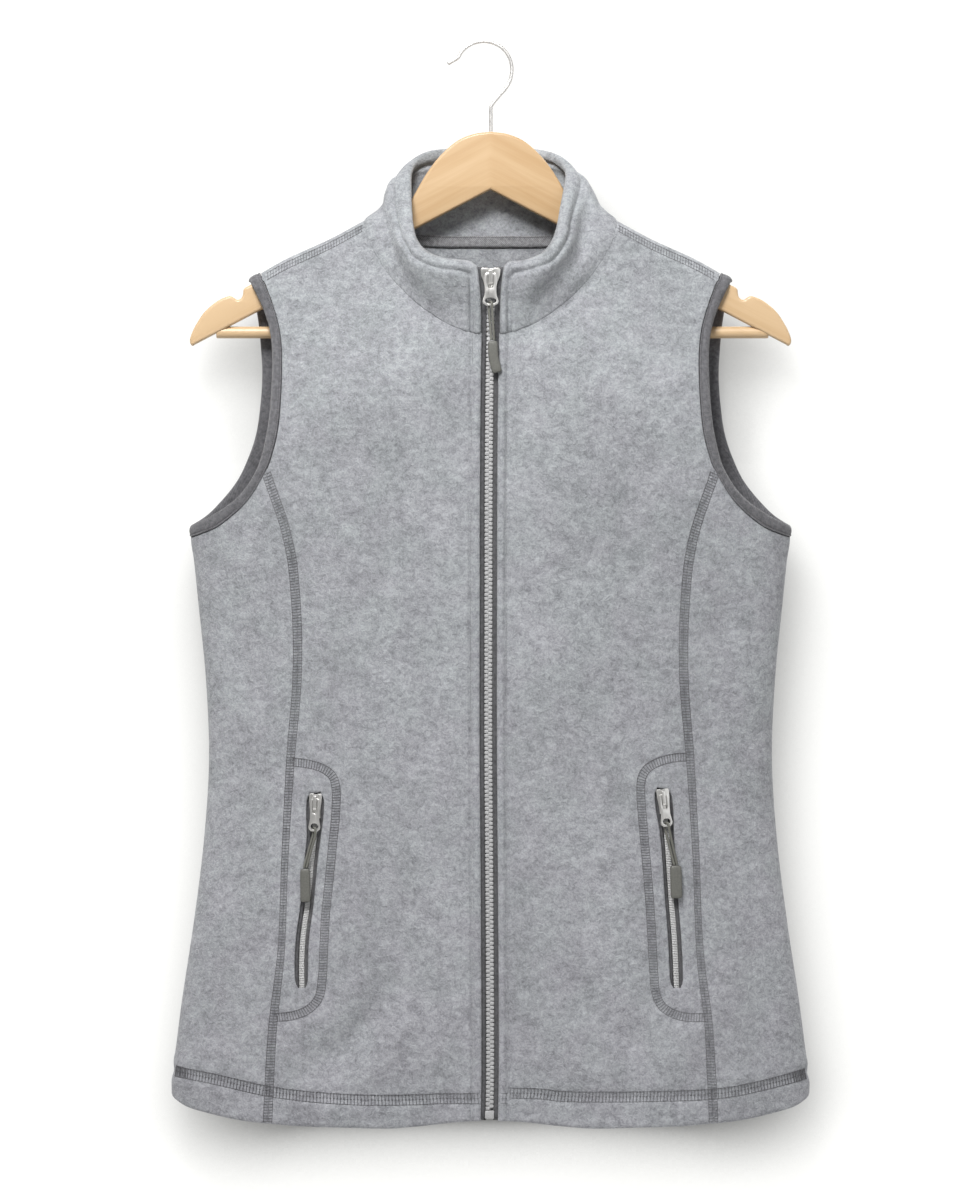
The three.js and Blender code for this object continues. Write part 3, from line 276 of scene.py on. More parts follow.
class Side(Enum):
    """The two sides of the vest: the name in its pieces, and the sign of X."""

    RIGHT = ("right", 1)
    LEFT = ("left", -1)


RIDGE = Table("x z fold", [
    [0, -101, 14], [20, -102.5, 14], [40, -107, 13.9], [60, -114.3, 13.6], [80, -124, 13.2],
    [94, -131.2, 12.8], [119, -144.6, 11], [152.5, -160, 9.7], [178.8, -174.8, 9.5],
    [222, -196, 9.5], [245, -207.2, 9.5],
])
SECTIONS = Table("z half front back", [
    [-805, 236.5, 43.5, 30], [-768, 236.3, 43, 30], [-739, 232.8, 42.5, 29.5],
    [-709, 228.9, 42, 29], [-650, 220, 41, 28], [-590, 212.6, 40, 27], [-531, 208.9, 40, 26],
    [-472, 211.1, 41, 26], [-412, 217, 43, 27], [-383, 220, 44, 27], [-365, 222.3, 45, 27],
    [-340, 219.5, 46, 27], [-300, 212, 46, 26], [-250, 204, 46, 24], [-200, 199, 44, 22],
    [-150, 197, 42, 21], [-100, 196, 42, 21],
])
HEM = Table("x front back", [
    [0, -795.5, -794], [20, -796.2, -794], [52, -799.6, -794], [74, -801.4, -794], [94, -801.1, -794],
    [140, -800, -793.5], [165, -798.2, -792.5], [186, -796, -791], [211, -791, -788.5],
    [226, -787.2, -785.5], [231, -785.2, -783.5], [234, -782, -781.4], [238, -776.5, -776.5],
])
PRINCESS = Table("z x", [
    [-805, 164.6], [-795, 164.2], [-730, 160.8], [-670, 154.3], [-603, 151.6], [-529, 147.4],
    [-474, 142.8], [-434, 142.4], [-390, 145.3], [-372, 148.3], [-355, 152.6], [-337, 158.8],
    [-325, 163.1], [-316.3, 165.9],
])
FRONT_NECK = [
    (6.3, -215.8), (16, -214.7), (30, -209.7), (44, -201.2), (58.3, -190), (72.4, -175.3),
    (84, -158.8), (90.3, -146),
]
BACK_NECK = [(0, -150.3), (22, -150.3), (42, -149.8), (60, -148), (75, -144.2), (85, -138.3)]
NECK_CORNER = 93.6
NECK_SIDE = 93.2
FRONT_ARMHOLE = Table("row openX openZ seamX seamZ", [
    [0, 173.4, -184.0, 167.2, -177.5], [1, 167.7, -196.7, 161.9, -191.5], [2, 163.2, -211.2, 157.3, -206.5],
    [3, 161.2, -227.8, 154.6, -223], [4, 161.3, -251.0, 154.0, -245], [5, 162.6, -273.0, 155.0, -270],
    [6, 165.2, -291.7, 157.2, -290], [7, 169.5, -309.4, 161.1, -305.5], [8, 174.6, -320.7, 165.0, -316.3],
    [9, 182.9, -332.9, 174.0, -332.5], [10, 193.9, -342.8, 184.7, -345.3], [11, 207.7, -351.4, 200, -357.5],
    [12, 216.8, -355.4, 213, -363.2],
])
BACK_ARMHOLE = Table("row openX openZ seamX seamZ", [
    [0, 174.5, -189.6, 167.3, -186], [1, 171.7, -206.7, 163.6, -204], [2, 169.8, -227.9, 161.2, -227],
    [3, 169.1, -245.6, 160.5, -246], [4, 170.5, -266.7, 161.9, -268.5], [5, 173.7, -288.4, 165.1, -291.5],
    [6, 179.8, -307.0, 171.8, -311.5], [7, 188.4, -324.7, 181.6, -331], [8, 201.4, -340.9, 196, -348.5],
    [9, 213.2, -351.9, 210, -360],
])
UNDERARM = {"X": 222.3, "open": -357.3, "seam": -365.2}
SHOULDER_END = {"open": 179, "seam": 170.3}
SHOULDER_SEAM_END = {"open": 176.4, "seam": 169.4}
PRINCESS_ROW = 8
PRINCESS_FOOT = float(PRINCESS.at(-798, "x"))
PRINCESS_TOP = -316.3
SIDE_FOOT = 236.4
SHOULDER_SEAM_DROP = 5
BLEND_DROP = 150
ZIP_FOOT = -795
ZIP_LINE = Table("z x", [
    [-800, -0.9], [-760, -0.3], [-690, -0.4], [-600, -1], [-520, -1.6], [-400, -1.5], [-320, -1.3],
    [-260, -0.8], [-216, 0], [-150, 0],
])
ZIP_GAP = 6.3
NECK_Z = FRONT_NECK[0][1]
RIM = {
    1: [(9.9, -42, -166.6), (13, -42.5, -164), (24, -42.5, -161.4), (30.5, -41.5, -159),
        (37, -39, -155.6), (42.6, -35, -148.4), (47.2, -30, -136.6), (50, -21, -120.6),
        (52.4, -10, -104.8), (53.6, 2, -91), (50.5, 11, -82.8), (45, 18, -78.2), (34, 23.5, -76),
        (17, 25.8, -75), (0, 26.5, -74.5)],
    -1: [(9.9, -42, -166.6), (14.5, -43, -163.4), (25, -42.5, -160.8), (36, -40, -158.8),
         (46.5, -35, -153.4), (51.5, -31, -147), (55.4, -27, -135.5), (56.8, -19, -120.1),
         (56.6, -9, -104.8), (56.4, 3, -90.2), (54, 12, -82.8), (47.5, 18.5, -77.8), (34.5, 24, -75.8),
         (17, 26, -75), (0, 26.5, -74.5)],
}
CLOTH = 2.2
HEM_CLOTH = 4.2
HEM_TURN = 20
HEM_STEP = 3
GAP = 0.3
SHOULDER_SHARE = 0.56
PRINCESS_SHARE = 0.77
ARM_SHARES = (0.66, 0.96)
HEM_ROWS = (16.5, 19.5)
SIDE_REACH = 233
POCKET_MIDDLE = -625


@dataclass(frozen=True)
class Pocket:
    """A pocket: its side, its zip's line as (x, z), its slider's pivot and its outline's stitching."""

    side: Side
    line: Path
    pivot_z: float
    grip: Path
    outline: Path
    grip_half: float = 3.65

    @property
    def table(self) -> Table:
        """Return the zip's line as a table of x against z, for positive x."""
        return Table("z x", [(z, x) for x, z in reversed(self.line)])

    def away(self, x: Array, z: Array) -> Array:
        """Return how far places (x, z) lie from the zip."""
        across = x * self.side.value[1] - self.table.at(z, "x")
        return np.hypot(across, np.maximum(np.maximum(z + 545, -703 - z), 0))


POCKETS = (
    Pocket(Side.RIGHT,
           ((126.2, -547), (128, -563), (130.3, -586), (133.7, -635), (135.9, -663.4), (137.6, -703)),
           -556, ((2.9, -52.5), (2, -64), (0.8, -76.6)),
           ((145.2, -527.9), (135.3, -528.6), (123.9, -531.6), (115.4, -536.5), (111.4, -543.6),
            (110.7, -554.9), (112.5, -578.8), (115, -607.1), (117.3, -635.2), (119, -663.4),
            (120.1, -684.5), (122, -702.8), (126.4, -711.4), (134.9, -717), (144.7, -719.5),
            (158.6, -719.7)), 4.2),
    Pocket(Side.LEFT,
           ((128.9, -549), (129.2, -563), (130.2, -586), (132.6, -608), (135.2, -636), (138.4, -660),
            (139.4, -678), (139.2, -703)),
           -559.5, ((5.9, -50.8), (5.4, -63), (4.9, -75.4)),
           ((146.4, -531.7), (134.7, -533), (123.4, -536.5), (116.4, -542.1), (113.9, -550.6),
            (114.2, -571.8), (116.3, -592.9), (119.1, -621.1), (121.3, -642.2), (122.9, -670.5),
            (124, -691.5), (126.8, -705.7), (134.7, -714.1), (145.9, -718.4), (158.6, -719.8))),
)
HEM_BAND = Table("x right left", [
    [0, -775, -779], [20, -775, -779], [37, -775.6, -779], [52, -777.3, -779.8], [90, -777.9, -780.2],
    [128, -777.5, -778.3], [161, -776.4, -774.7], [180, -774.3, -771], [205, -769.5, -765.8],
    [231, -763.7, -761.5],
])
ZIP_TOPSTITCH = 13.1


def zip_lean(z: Array) -> Array:
    """Return the X of the closed zip at heights z."""
    return ZIP_LINE.at(z, "x")


@dataclass(frozen=True)
class Crease:
    """A soft ridge, or a trough where its height is negative, along a curve of (x, z) points."""

    face: Face
    path: Path
    width: float
    height: float

    def lift(self, x: Array, z: Array) -> Array:
        """Return how far the crease lifts the cloth at places (x, z)."""
        share = np.linspace(0, 1, 26)
        strength = np.sqrt(np.sin(np.pi * np.clip(share, 0.03, 0.97)))
        best = np.zeros(np.shape(x))
        for (a, b), weight in zip(Run(self.path)(share), strength):
            best = np.maximum(best, weight * bell(np.hypot(x - a, z - b), self.width))
        return self.height * best


F, B = Face.FRONT, Face.BACK
CREASES = [Crease(*row) for row in [
    (F, ((-127, -754), (-107, -741), (-87, -720), (-71, -695)), 12, -6.0),
    (F, ((-102, -767), (-78, -748), (-62, -718)), 13, 4.0),
    (F, ((-143, -714), (-118, -695), (-102, -670)), 13, -2.6),
    (F, ((-140, -780), (-111, -789), (-81, -786)), 11, 2.4),
    (F, ((111, -749), (99, -733), (83, -714), (73, -688)), 12, -5.0),
    (F, ((81, -765), (67, -748), (58, -721)), 14, 4.2),
    (F, ((131, -762), (147, -736), (154, -707)), 14, 2.6),
    (F, ((195, -662), (200, -699), (195, -743)), 13, -3.4),
    (F, ((154, -780), (184, -769), (209, -764)), 11, 2.2),
    (F, ((-190, -401), (-187, -442), (-184, -478)), 12, -4.2),
    (F, ((174, -405), (172, -427), (176, -456)), 12, -4.0),
    (F, ((-100, -368), (-102, -427), (-99, -501)), 20, 2.4),
    (F, ((104, -324), (101, -412), (106, -515)), 16, -3.2),
    (F, ((-111, -225), (-114, -258), (-109, -287)), 24, 2.4),
    (F, ((55, -265), (53, -298), (56, -331)), 22, 1.8),
    (F, ((-63, -626), (-67, -662), (-70, -692)), 16, -3.4),
    (F, ((81, -611), (78, -655), (81, -695)), 15, -3.2),
    (F, ((-203, -677), (-209, -714), (-205, -751)), 14, -2.8),
    (F, ((-177, -574), (-168, -611), (-171, -655)), 14, 2.2),
    (F, ((-45, -442), (-52, -501), (-46, -559)), 18, -1.8),
    (F, ((40, -427), (45, -486), (41, -552)), 18, 1.8),
    (F, ((154, -486), (159, -530), (154, -574)), 14, -2.4),
    (F, ((-15, -692), (-26, -721), (-37, -751)), 12, 2.6),
    (F, ((19, -217), (33, -211), (47, -202), (61, -191), (75, -176), (87, -160), (93, -147)), 2.6, -1.3),
    (B, ((-120, -788), (-112, -730), (-100, -660)), 16, 3.2),
    (B, ((-62, -786), (-60, -740), (-70, -690)), 14, -2.8),
    (B, ((48, -788), (56, -720), (50, -640)), 17, 3.0),
    (B, ((128, -786), (118, -740), (104, -700)), 14, -2.9),
    (B, ((-90, -260), (-70, -330), (-74, -420)), 22, -1.8),
    (B, ((84, -250), (92, -330), (86, -400)), 20, 1.6),
    (B, ((8, -430), (-4, -520), (6, -600)), 20, -1.7),
    (B, ((-160, -420), (-150, -480), (-156, -560)), 18, 1.9),
    (B, ((168, -440), (158, -520), (164, -590)), 17, -2.0),
]]


class Form:
    """The surface of the vest's body.

    A place on it is (wrap, rise). Rise runs along the cloth: 0 where the fold over the hanger
    begins, negative down the body, positive round the fold. Wrap is 1 in the middle and 0 at
    the side seam.
    """

    def __init__(self) -> None:
        """Work out the half width against the rise from the level sections."""
        rows = [(float(self.rise_of(half, z)), half) for z, half, *_ in SECTIONS.rows if z <= -200]
        self.half = Table("rise half", [*rows, (15, 198), (45, 198)])
        self.outlines = {p: soft_line(p.outline, 90) for p in POCKETS}

    @staticmethod
    def rise_of(x: Array, z: Array) -> Array:
        """Return the rise at places (x, z) of positive x."""
        fold = RIDGE.at(x, "fold")
        drop = RIDGE.at(x, "z") - z
        turn = np.arccos(1 - np.clip(drop, 0, fold) / fold)
        return np.where(drop >= fold, fold - drop, fold * (math.pi / 2 - turn))

    def place_at_rise(self, x: Array, rise: Array) -> Array:
        """Return the place at x and a rise as (wrap, rise)."""
        wrap = np.sqrt(np.maximum(0, 1 - x / self.half.at(rise, "half")))
        return np.stack(np.broadcast_arrays(wrap, rise), axis=-1)

    def place(self, x: Array, z: Array) -> Array:
        """Return the place at (x, z) as (wrap, rise)."""
        return self.place_at_rise(x, self.rise_of(x, z))

    def bare(self, face: Face, places: Array) -> Array:
        """Return the points of the smooth surface at places, on the side of positive X."""
        wrap, rise = places[..., 0], places[..., 1]
        across = 1 - wrap * wrap
        x = self.half.at(rise, "half") * across
        fold = RIDGE.at(x, "fold")
        turn = math.pi / 2 - np.maximum(rise, 0) / fold
        drop = np.where(rise <= 0, fold - rise, fold * (1 - np.cos(turn)))
        z = RIDGE.at(x, "z") - drop
        depth, sign = face.value
        full = SECTIONS.at(z, depth) * wrap * np.sqrt(1 + across + across * across)
        y = fold * np.sin(turn) + (full - fold) * smooth(drop / BLEND_DROP)
        return np.stack([x, sign * y, z], axis=-1)

    def normal(self, face: Face, places: Array) -> Array:
        """Return the smooth surface's outward directions at places."""
        wrap, rise = np.array([0.004, 0]), np.array([0, 0.05])
        along_wrap = self.bare(face, places + wrap) - self.bare(face, places - wrap)
        along_rise = self.bare(face, places + rise) - self.bare(face, places - rise)
        return unit(np.cross(along_wrap, along_rise)) * face.value[1]

    def cloth(self, face: Face, places: Array, sign: int = 1) -> tuple[Array, Array]:
        """Find the creased cloth.

        Args:
            face: The face of the body.
            places: Places (wrap, rise).
            sign: 1 for the side of positive X, -1 for the other.

        Returns:
            The points of the cloth's outer face, and the outward directions there.
        """
        turned = np.array([sign, 1, 1])
        points, normals = self.bare(face, places) * turned, self.normal(face, places) * turned
        lift = self.creases(face, points[..., 0], points[..., 2])
        lift = lift * smooth(places[..., 0] / 0.3) * smooth(-places[..., 1] / 40)
        lift = lift + self.sewn(face, points[..., 0], points[..., 2], places[..., 1])
        return points + normals * lift[..., None], normals

    def at(self, face: Face, x: Array, z: Array) -> tuple[Array, Array]:
        """Return the creased cloth's points and directions at places (x, z) of one side."""
        x, z = np.broadcast_arrays(np.asarray(x, float), np.asarray(z, float))
        return self.cloth(face, self.place(np.abs(x), z), 1 if np.mean(x) >= 0 else -1)

    @staticmethod
    def creases(face: Face, x: Array, z: Array) -> Array:
        """Return the height of a face's creases at places (x, z), fading towards the zips."""
        total = sum(crease.lift(x, z) for crease in CREASES if crease.face is face)
        if face is Face.FRONT:
            total = total * smooth((np.abs(x - zip_lean(z)) - 12) / 26)
            for pocket in POCKETS:
                total = total * smooth((pocket.away(x, z) - 8) / 22)
        return total

    def sewn(self, face: Face, x: Array, z: Array, rise: Array) -> Array:
        """Return how the sewing draws the cloth in and lets it puff beside each line."""
        def drawn(away: Array, depth: float) -> Array:
            """Return the dip under a line of stitches and the low swell on both sides of it."""
            return depth * (0.35 * bell(np.abs(away) - 8.5, 3.5) - bell(away, 3.6))

        far = np.abs(x)
        band = np.where(x < 0, HEM_BAND.at(far, "left"), HEM_BAND.at(far, "right"))
        lift = drawn(z - band, 0.9)
        over = drawn(rise - seam_rise(far, face), 0.6) * smooth((far - 84) / 8)
        lift = lift + np.where(rise > -30, over, 0)
        if face is Face.FRONT:
            reach = smooth((PRINCESS_TOP + 6 - z) / 12)
            lift = lift + drawn(far - PRINCESS.at(z, "x"), 0.55) * reach
            edge = np.abs(x - zip_lean(z))
            lift = lift + 1.0 * bell(edge - 9.4, 2.4) - 1.5 * bell(edge - ZIP_TOPSTITCH, 1.4)
            for pocket in POCKETS:
                line = self.outlines[pocket]
                near = (np.abs(far - 130) < 50) & (np.abs(z - POCKET_MIDDLE) < 115)
                near = near & (x * pocket.side.value[1] > 0)
                away = np.full(np.shape(x), 99.0)
                spots = np.stack([far[near], z[near]], axis=-1)
                if len(spots):
                    away[near] = np.linalg.norm(spots[:, None] - line[None], axis=2).min(axis=1)
                lift = lift + drawn(away, 0.5)
        return lift


def seam_rise(x: Array, face: Face) -> Array:
    """Return the shoulder seam's rise. On the back's surface it lies over the ridge."""
    fold = RIDGE.at(x, "fold")
    return fold * (math.pi / 2 + face.value[1] * np.arccos(1 - SHOULDER_SEAM_DROP / fold))


class Pattern:
    """The vest's seam lines on its form, as runs of places, and its pieces as grids of places."""

    def __init__(self, form: Form) -> None:
        """Lay out the seam lines that the pieces share."""
        self.form = form
        self.front_arm = Run(self.armhole(Face.FRONT, "seam"))
        self.back_arm = Run(self.armhole(Face.BACK, "seam"))
        self.to_princess = (PRINCESS_ROW + 2) / (len(self.front_arm.points) - 1)
        self.to_shoulder = 1 / (len(self.front_arm.points) - 1)
        corner = float(seam_rise(NECK_CORNER, Face.FRONT))
        over = float(seam_rise(NECK_CORNER, Face.BACK))
        ridge = float(RIDGE.at(NECK_CORNER, "fold")) * math.pi / 2
        front = [form.place(x, z) for x, z in FRONT_NECK]
        self.front_neck = self.even(Face.FRONT, [*front, form.place_at_rise(NECK_SIDE, corner)])
        back = [form.place(x, z) for x, z in BACK_NECK]
        self.back_neck = self.even(Face.BACK, [
            *back, form.place_at_rise(NECK_CORNER - 2, ridge * 0.5),
            form.place_at_rise(NECK_CORNER, ridge), form.place_at_rise(NECK_SIDE, over),
        ])
        z = np.linspace(float(HEM.at(PRINCESS_FOOT, "front")), PRINCESS_TOP, 17)
        self.princess = Run(form.place(PRINCESS.at(z, "x"), z))

    def even(self, face: Face, places: Sequence[Point]) -> Places:
        """Return a run through places, with even steps along the cloth."""
        run, share = Run(places), np.linspace(0, 1, 161)
        far = lengths(self.form.bare(face, run(share)))
        return lambda t: run(np.interp(np.asarray(t) * far[-1], far, share))

    def armhole(self, face: Face, edge: str) -> Array:
        """Return an armhole edge's places, from the ridge by the shoulder seam to the underarm."""
        form, ridge_x, seam_x = self.form, SHOULDER_END[edge], SHOULDER_SEAM_END[edge]
        table = FRONT_ARMHOLE if face is Face.FRONT else BACK_ARMHOLE
        row = table.rows[:, 0]
        ridge = float(RIDGE.at(ridge_x, "fold")) * math.pi / 2
        return np.vstack([
            form.place_at_rise(ridge_x, ridge),
            form.place_at_rise(seam_x, float(seam_rise(seam_x, Face.FRONT))),
            form.place(table.at(row, edge + "X"), table.at(row, edge + "Z")),
            [0, float(form.rise_of(UNDERARM["X"], UNDERARM[edge]))],
        ])

    def hem(self, face: Face, start: float, end: float, more: Sequence[Point] = ()) -> Run:
        """Return the hem edge between two x's, with any further places after it."""
        x = np.linspace(start, end, 11)
        return Run([*self.form.place(x, HEM.at(x, face.value[0])), *more])

    def side_seam(self, face: Face) -> Run:
        """Return the side seam, from the hem up to the armhole."""
        foot = float(self.form.rise_of(SIDE_FOOT, HEM.at(SIDE_FOOT, face.value[0])))
        top = self.front_arm.points[-1] if face is Face.FRONT else self.back_arm.points[-1]
        return Run([(0, foot), top])

    def shoulder(self, face: Face) -> Run:
        """Return the shoulder seam, from the neck out to the armhole."""
        x = np.linspace(NECK_SIDE, SHOULDER_SEAM_END["seam"], 7)
        return Run(self.form.place_at_rise(x, seam_rise(x, face)))


# ---- Objects and meshes ----------------------------------------------------------------------


def new_object(name: str, data: Any) -> bpy.types.Object:
    """Return a new object in the scene that holds a mesh, a curve, a light or a camera."""
    piece = bpy.data.objects.new(name, data)
    bpy.context.scene.collection.objects.link(piece)
    return piece


def drawn_line(name: str, points: Array, closed: bool = False, **settings: Any) -> bpy.types.Object:
    """Draw a line as a curve object.

    Args:
        name: The object's name.
        points: Its points in metres.
        closed: Whether it runs back to its start.
        settings: The curve's own properties.

    Returns:
        The object.
    """
    line = bpy.data.curves.new(name, "CURVE")
    for key, value in settings.items():
        setattr(line, key, value)
    spline = line.splines.new("POLY")
    spline.use_cyclic_u = closed
    spline.points.add(len(points) - 1)
    for spot, place in zip(spline.points, points):
        spot.co = (*place, 1)
    return new_object(name, line)


def final_mesh(piece: bpy.types.Object) -> bpy.types.Mesh:
    """Return an object's shape, with its modifiers and curve settings, as a plain mesh."""
    return bpy.data.meshes.new_from_object(piece.evaluated_get(bpy.context.evaluated_depsgraph_get()))


SEAM_DIP = 0.45
OPEN_RIM = 1.1


def grid_faces(rows: int, columns: int, loop_rows: bool = False, loop_columns: bool = False) -> Array:
    """Return the quads of a grid of points numbered row by row, closed round either way."""
    r = np.arange(rows - (not loop_rows))[:, None]
    c = np.arange(columns - (not loop_columns))[None, :]
    r2, c2 = (r + 1) % rows, (c + 1) % columns
    corners = [(r, c), (r, c2), (r2, c2), (r2, c)]
    return np.stack([(a * columns + b).ravel() for a, b in corners], axis=-1)


def solid(name: str, points: Array, quads: Array, uv: Array | None = None,
          caps: Sequence[Sequence[int]] = ()) -> bpy.types.Object:
    """Make a closed mesh object with its faces outward.

    Args:
        name: The piece's name.
        points: Points in millimetres.
        quads: Four point numbers for each face.
        uv: The cloth's own place at each corner of each quad, in metres.
        caps: End faces, as lists of point numbers.

    Returns:
        The object, smooth shaded.
    """
    a, b, c, d = (points[quads[:, k]] for k in range(4))
    volume = np.sum(a * np.cross(b, c)) + np.sum(a * np.cross(c, d))
    if volume < 0:
        quads, caps = quads[:, ::-1], [list(cap)[::-1] for cap in caps]
        uv = None if uv is None else uv[:, ::-1]
    mesh = bpy.data.meshes.new(name)
    mesh.from_pydata(points * MM, [], [*quads.tolist(), *map(list, caps)])
    if uv is not None:
        flat = np.zeros((len(mesh.loops), 2))
        flat[: len(quads) * 4] = uv.reshape(-1, 2)
        mesh.uv_layers.new(name="cloth").uv.foreach_set("vector", flat.ravel())
    mesh.shade_smooth()
    return new_object(name, mesh)


def rings_round(line: Array, way: Array, side: Array, deep: Array) -> Array:
    """Set a ring of points round each point of a line in X and Z.

    Args:
        line: The line's points (x, z).
        way: Its directions there, at length 1.
        side: How far each point of each ring lies to the line's side.
        deep: How far back each lies.

    Returns:
        The rings, as [ring, point, xyz].
    """
    x, z = line[:, :1] - way[:, 1:] * side, line[:, 1:] + way[:, :1] * side
    return np.stack([x, deep, z], axis=-1)


def loft(name: str, rings: Array, looped: bool = False) -> bpy.types.Object:
    """Make a solid through rings of points [ring, point, xyz], closed round or with flat ends."""
    count, size = rings.shape[:2]
    along, around = (
        np.concatenate([[0], np.cumsum(np.linalg.norm(np.roll(rings, -1, k) - rings, axis=2).mean(1 - k))])
        for k in (0, 1))
    quads = grid_faces(count, size, looped, True)
    r, c = np.divmod(np.arange(len(quads)), size)
    corners = ((0, 0), (0, 1), (1, 1), (1, 0))
    uv = np.stack([np.stack([around[c + k], along[r + j]], -1) for j, k in corners], 1)
    ends = np.arange(size)
    caps = () if looped else (ends[::-1], ends + (count - 1) * size)
    return solid(name, rings.reshape(-1, 3), quads, uv * MM, caps)


@dataclass
class Opening:
    """An opening cut in a cloth: its faces, and each point's distance from it."""

    faces: Array
    away: Array


def cloth_wall(name: str, points: Array, normals: Array, thick: Array | float,
               rims: Point, opening: Opening | None = None, sewn: str = "") -> bpy.types.Object:
    """Make a thin wall of cloth with soft edges.

    Args:
        name: The piece's name.
        points: Rows of points of its outer face.
        normals: The outward direction at each.
        thick: Its thickness, everywhere or at each point.
        rims: How far in the rounding reaches from the first row, the last row, the first
            column and the last column.
        opening: An opening through it.
        sewn: The numbers of the sewn edges, in the same order, which dip only a little.

    Returns:
        The closed piece, with a UV map of its own places in metres.
    """
    rows, columns = points.shape[:2]
    thick = np.broadcast_to(thick, (rows, columns))
    def from_start(axis: int) -> Array:
        """Return distances along the rows or columns from their start."""
        steps = np.linalg.norm(np.diff(points, axis=axis), axis=2)
        return np.concatenate([np.zeros_like(np.take(steps, [0], axis)), np.cumsum(steps, axis)], axis)
    up, across = from_start(0), from_start(1)
    dips = [np.minimum(thick / 2, SEAM_DIP) if str(k) in sewn else thick / 2 for k in range(4)]
    edges = list(zip((up, up[-1:] - up, across, across[:, -1:] - across), rims, dips))
    number = np.arange(rows * columns).reshape(rows, columns)
    border = np.zeros((rows, columns), bool)
    border[[0, -1]] = border[:, [0, -1]] = True
    kept = np.ones((rows - 1, columns - 1), bool)
    if opening is not None:
        edges.append((opening.away, OPEN_RIM, thick / 2))
        kept = ~opening.faces
        touched = np.zeros((2, rows, columns), bool)
        for state, cells in enumerate((opening.faces, kept)):
            for r, c in ((0, 0), (0, 1), (1, 0), (1, 1)):
                touched[state, r:rows - 1 + r, c:columns - 1 + c] |= cells
        border |= touched[0] & touched[1]
    inset, backset = np.zeros((2, rows, columns))
    for away, reach, dip in edges:
        inward = 1 - np.clip(away / reach, 0, 1)
        fall = 1 - np.sqrt(1 - inward * inward)
        inset, backset = np.maximum(inset, dip * fall), np.maximum(backset, (thick - dip) * fall)
    outer = points - normals * inset[..., None]
    inner = points - normals * (thick - backset)[..., None]
    cells = grid_faces(rows, columns)[kept.ravel()]
    behind = np.where(border, number, number + rows * columns).ravel()
    uv = (np.stack([across, up], -1) * MM).reshape(-1, 2)[cells]
    quads = np.vstack([cells, behind[cells][:, ::-1]])
    used, quads = np.unique(quads, return_inverse=True)
    both = np.vstack([outer.reshape(-1, 3), inner.reshape(-1, 3)])
    return solid(name, both[used], quads.reshape(-1, 4), np.concatenate([uv, uv[:, ::-1]]))


def softened(node: str, name: str, width: float) -> bpy.types.Object:
    """Copy a frame node's mesh and round its edges.

    Args:
        node: The node to copy.
        name: The piece's name.
        width: The width of the rounding.

    Returns:
        The new piece, smooth shaded between its sharp edges.
    """
    build = bmesh.new()
    build.from_mesh(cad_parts[node].data)
    bmesh.ops.remove_doubles(build, verts=build.verts, dist=2e-6)
    bmesh.ops.dissolve_limit(build, angle_limit=math.radians(1), verts=build.verts, edges=build.edges)
    sharp = [e for e in build.edges if e.is_manifold and e.calc_face_angle() > math.radians(25)]
    bmesh.ops.bevel(build, geom=sharp, offset=width * MM, segments=2, profile=0.5,
                    affect="EDGES", clamp_overlap=True)
    bmesh.ops.triangulate(build, faces=[f for f in build.faces if len(f.verts) > 4])
    mesh = bpy.data.meshes.new(name)
    build.to_mesh(mesh)
    build.free()
    mesh.shade_smooth()
    mesh.set_sharp_from_angle(angle=math.radians(32))
    return new_object(name, mesh)


# ---- Finishes --------------------------------------------------------------------------------


def add(tree: bpy.types.NodeTree, kind: str, inputs: dict[Any, Any] | None = None,
        **settings: Any) -> bpy.types.Node:
    """Add a node.

    Args:
        tree: The node tree it goes into.
        kind: The node's type name.
        inputs: Values, or sockets to join, by the input's name or number.
        settings: The node's own properties.

    Returns:
        The node.
    """
    made = tree.nodes.new(kind)
    for key, value in settings.items():
        setattr(made, key, value)
    for key, value in (inputs or {}).items():
        if isinstance(value, bpy.types.NodeSocket):
            tree.links.new(value, made.inputs[key])
        else:
            made.inputs[key].default_value = value
    return made


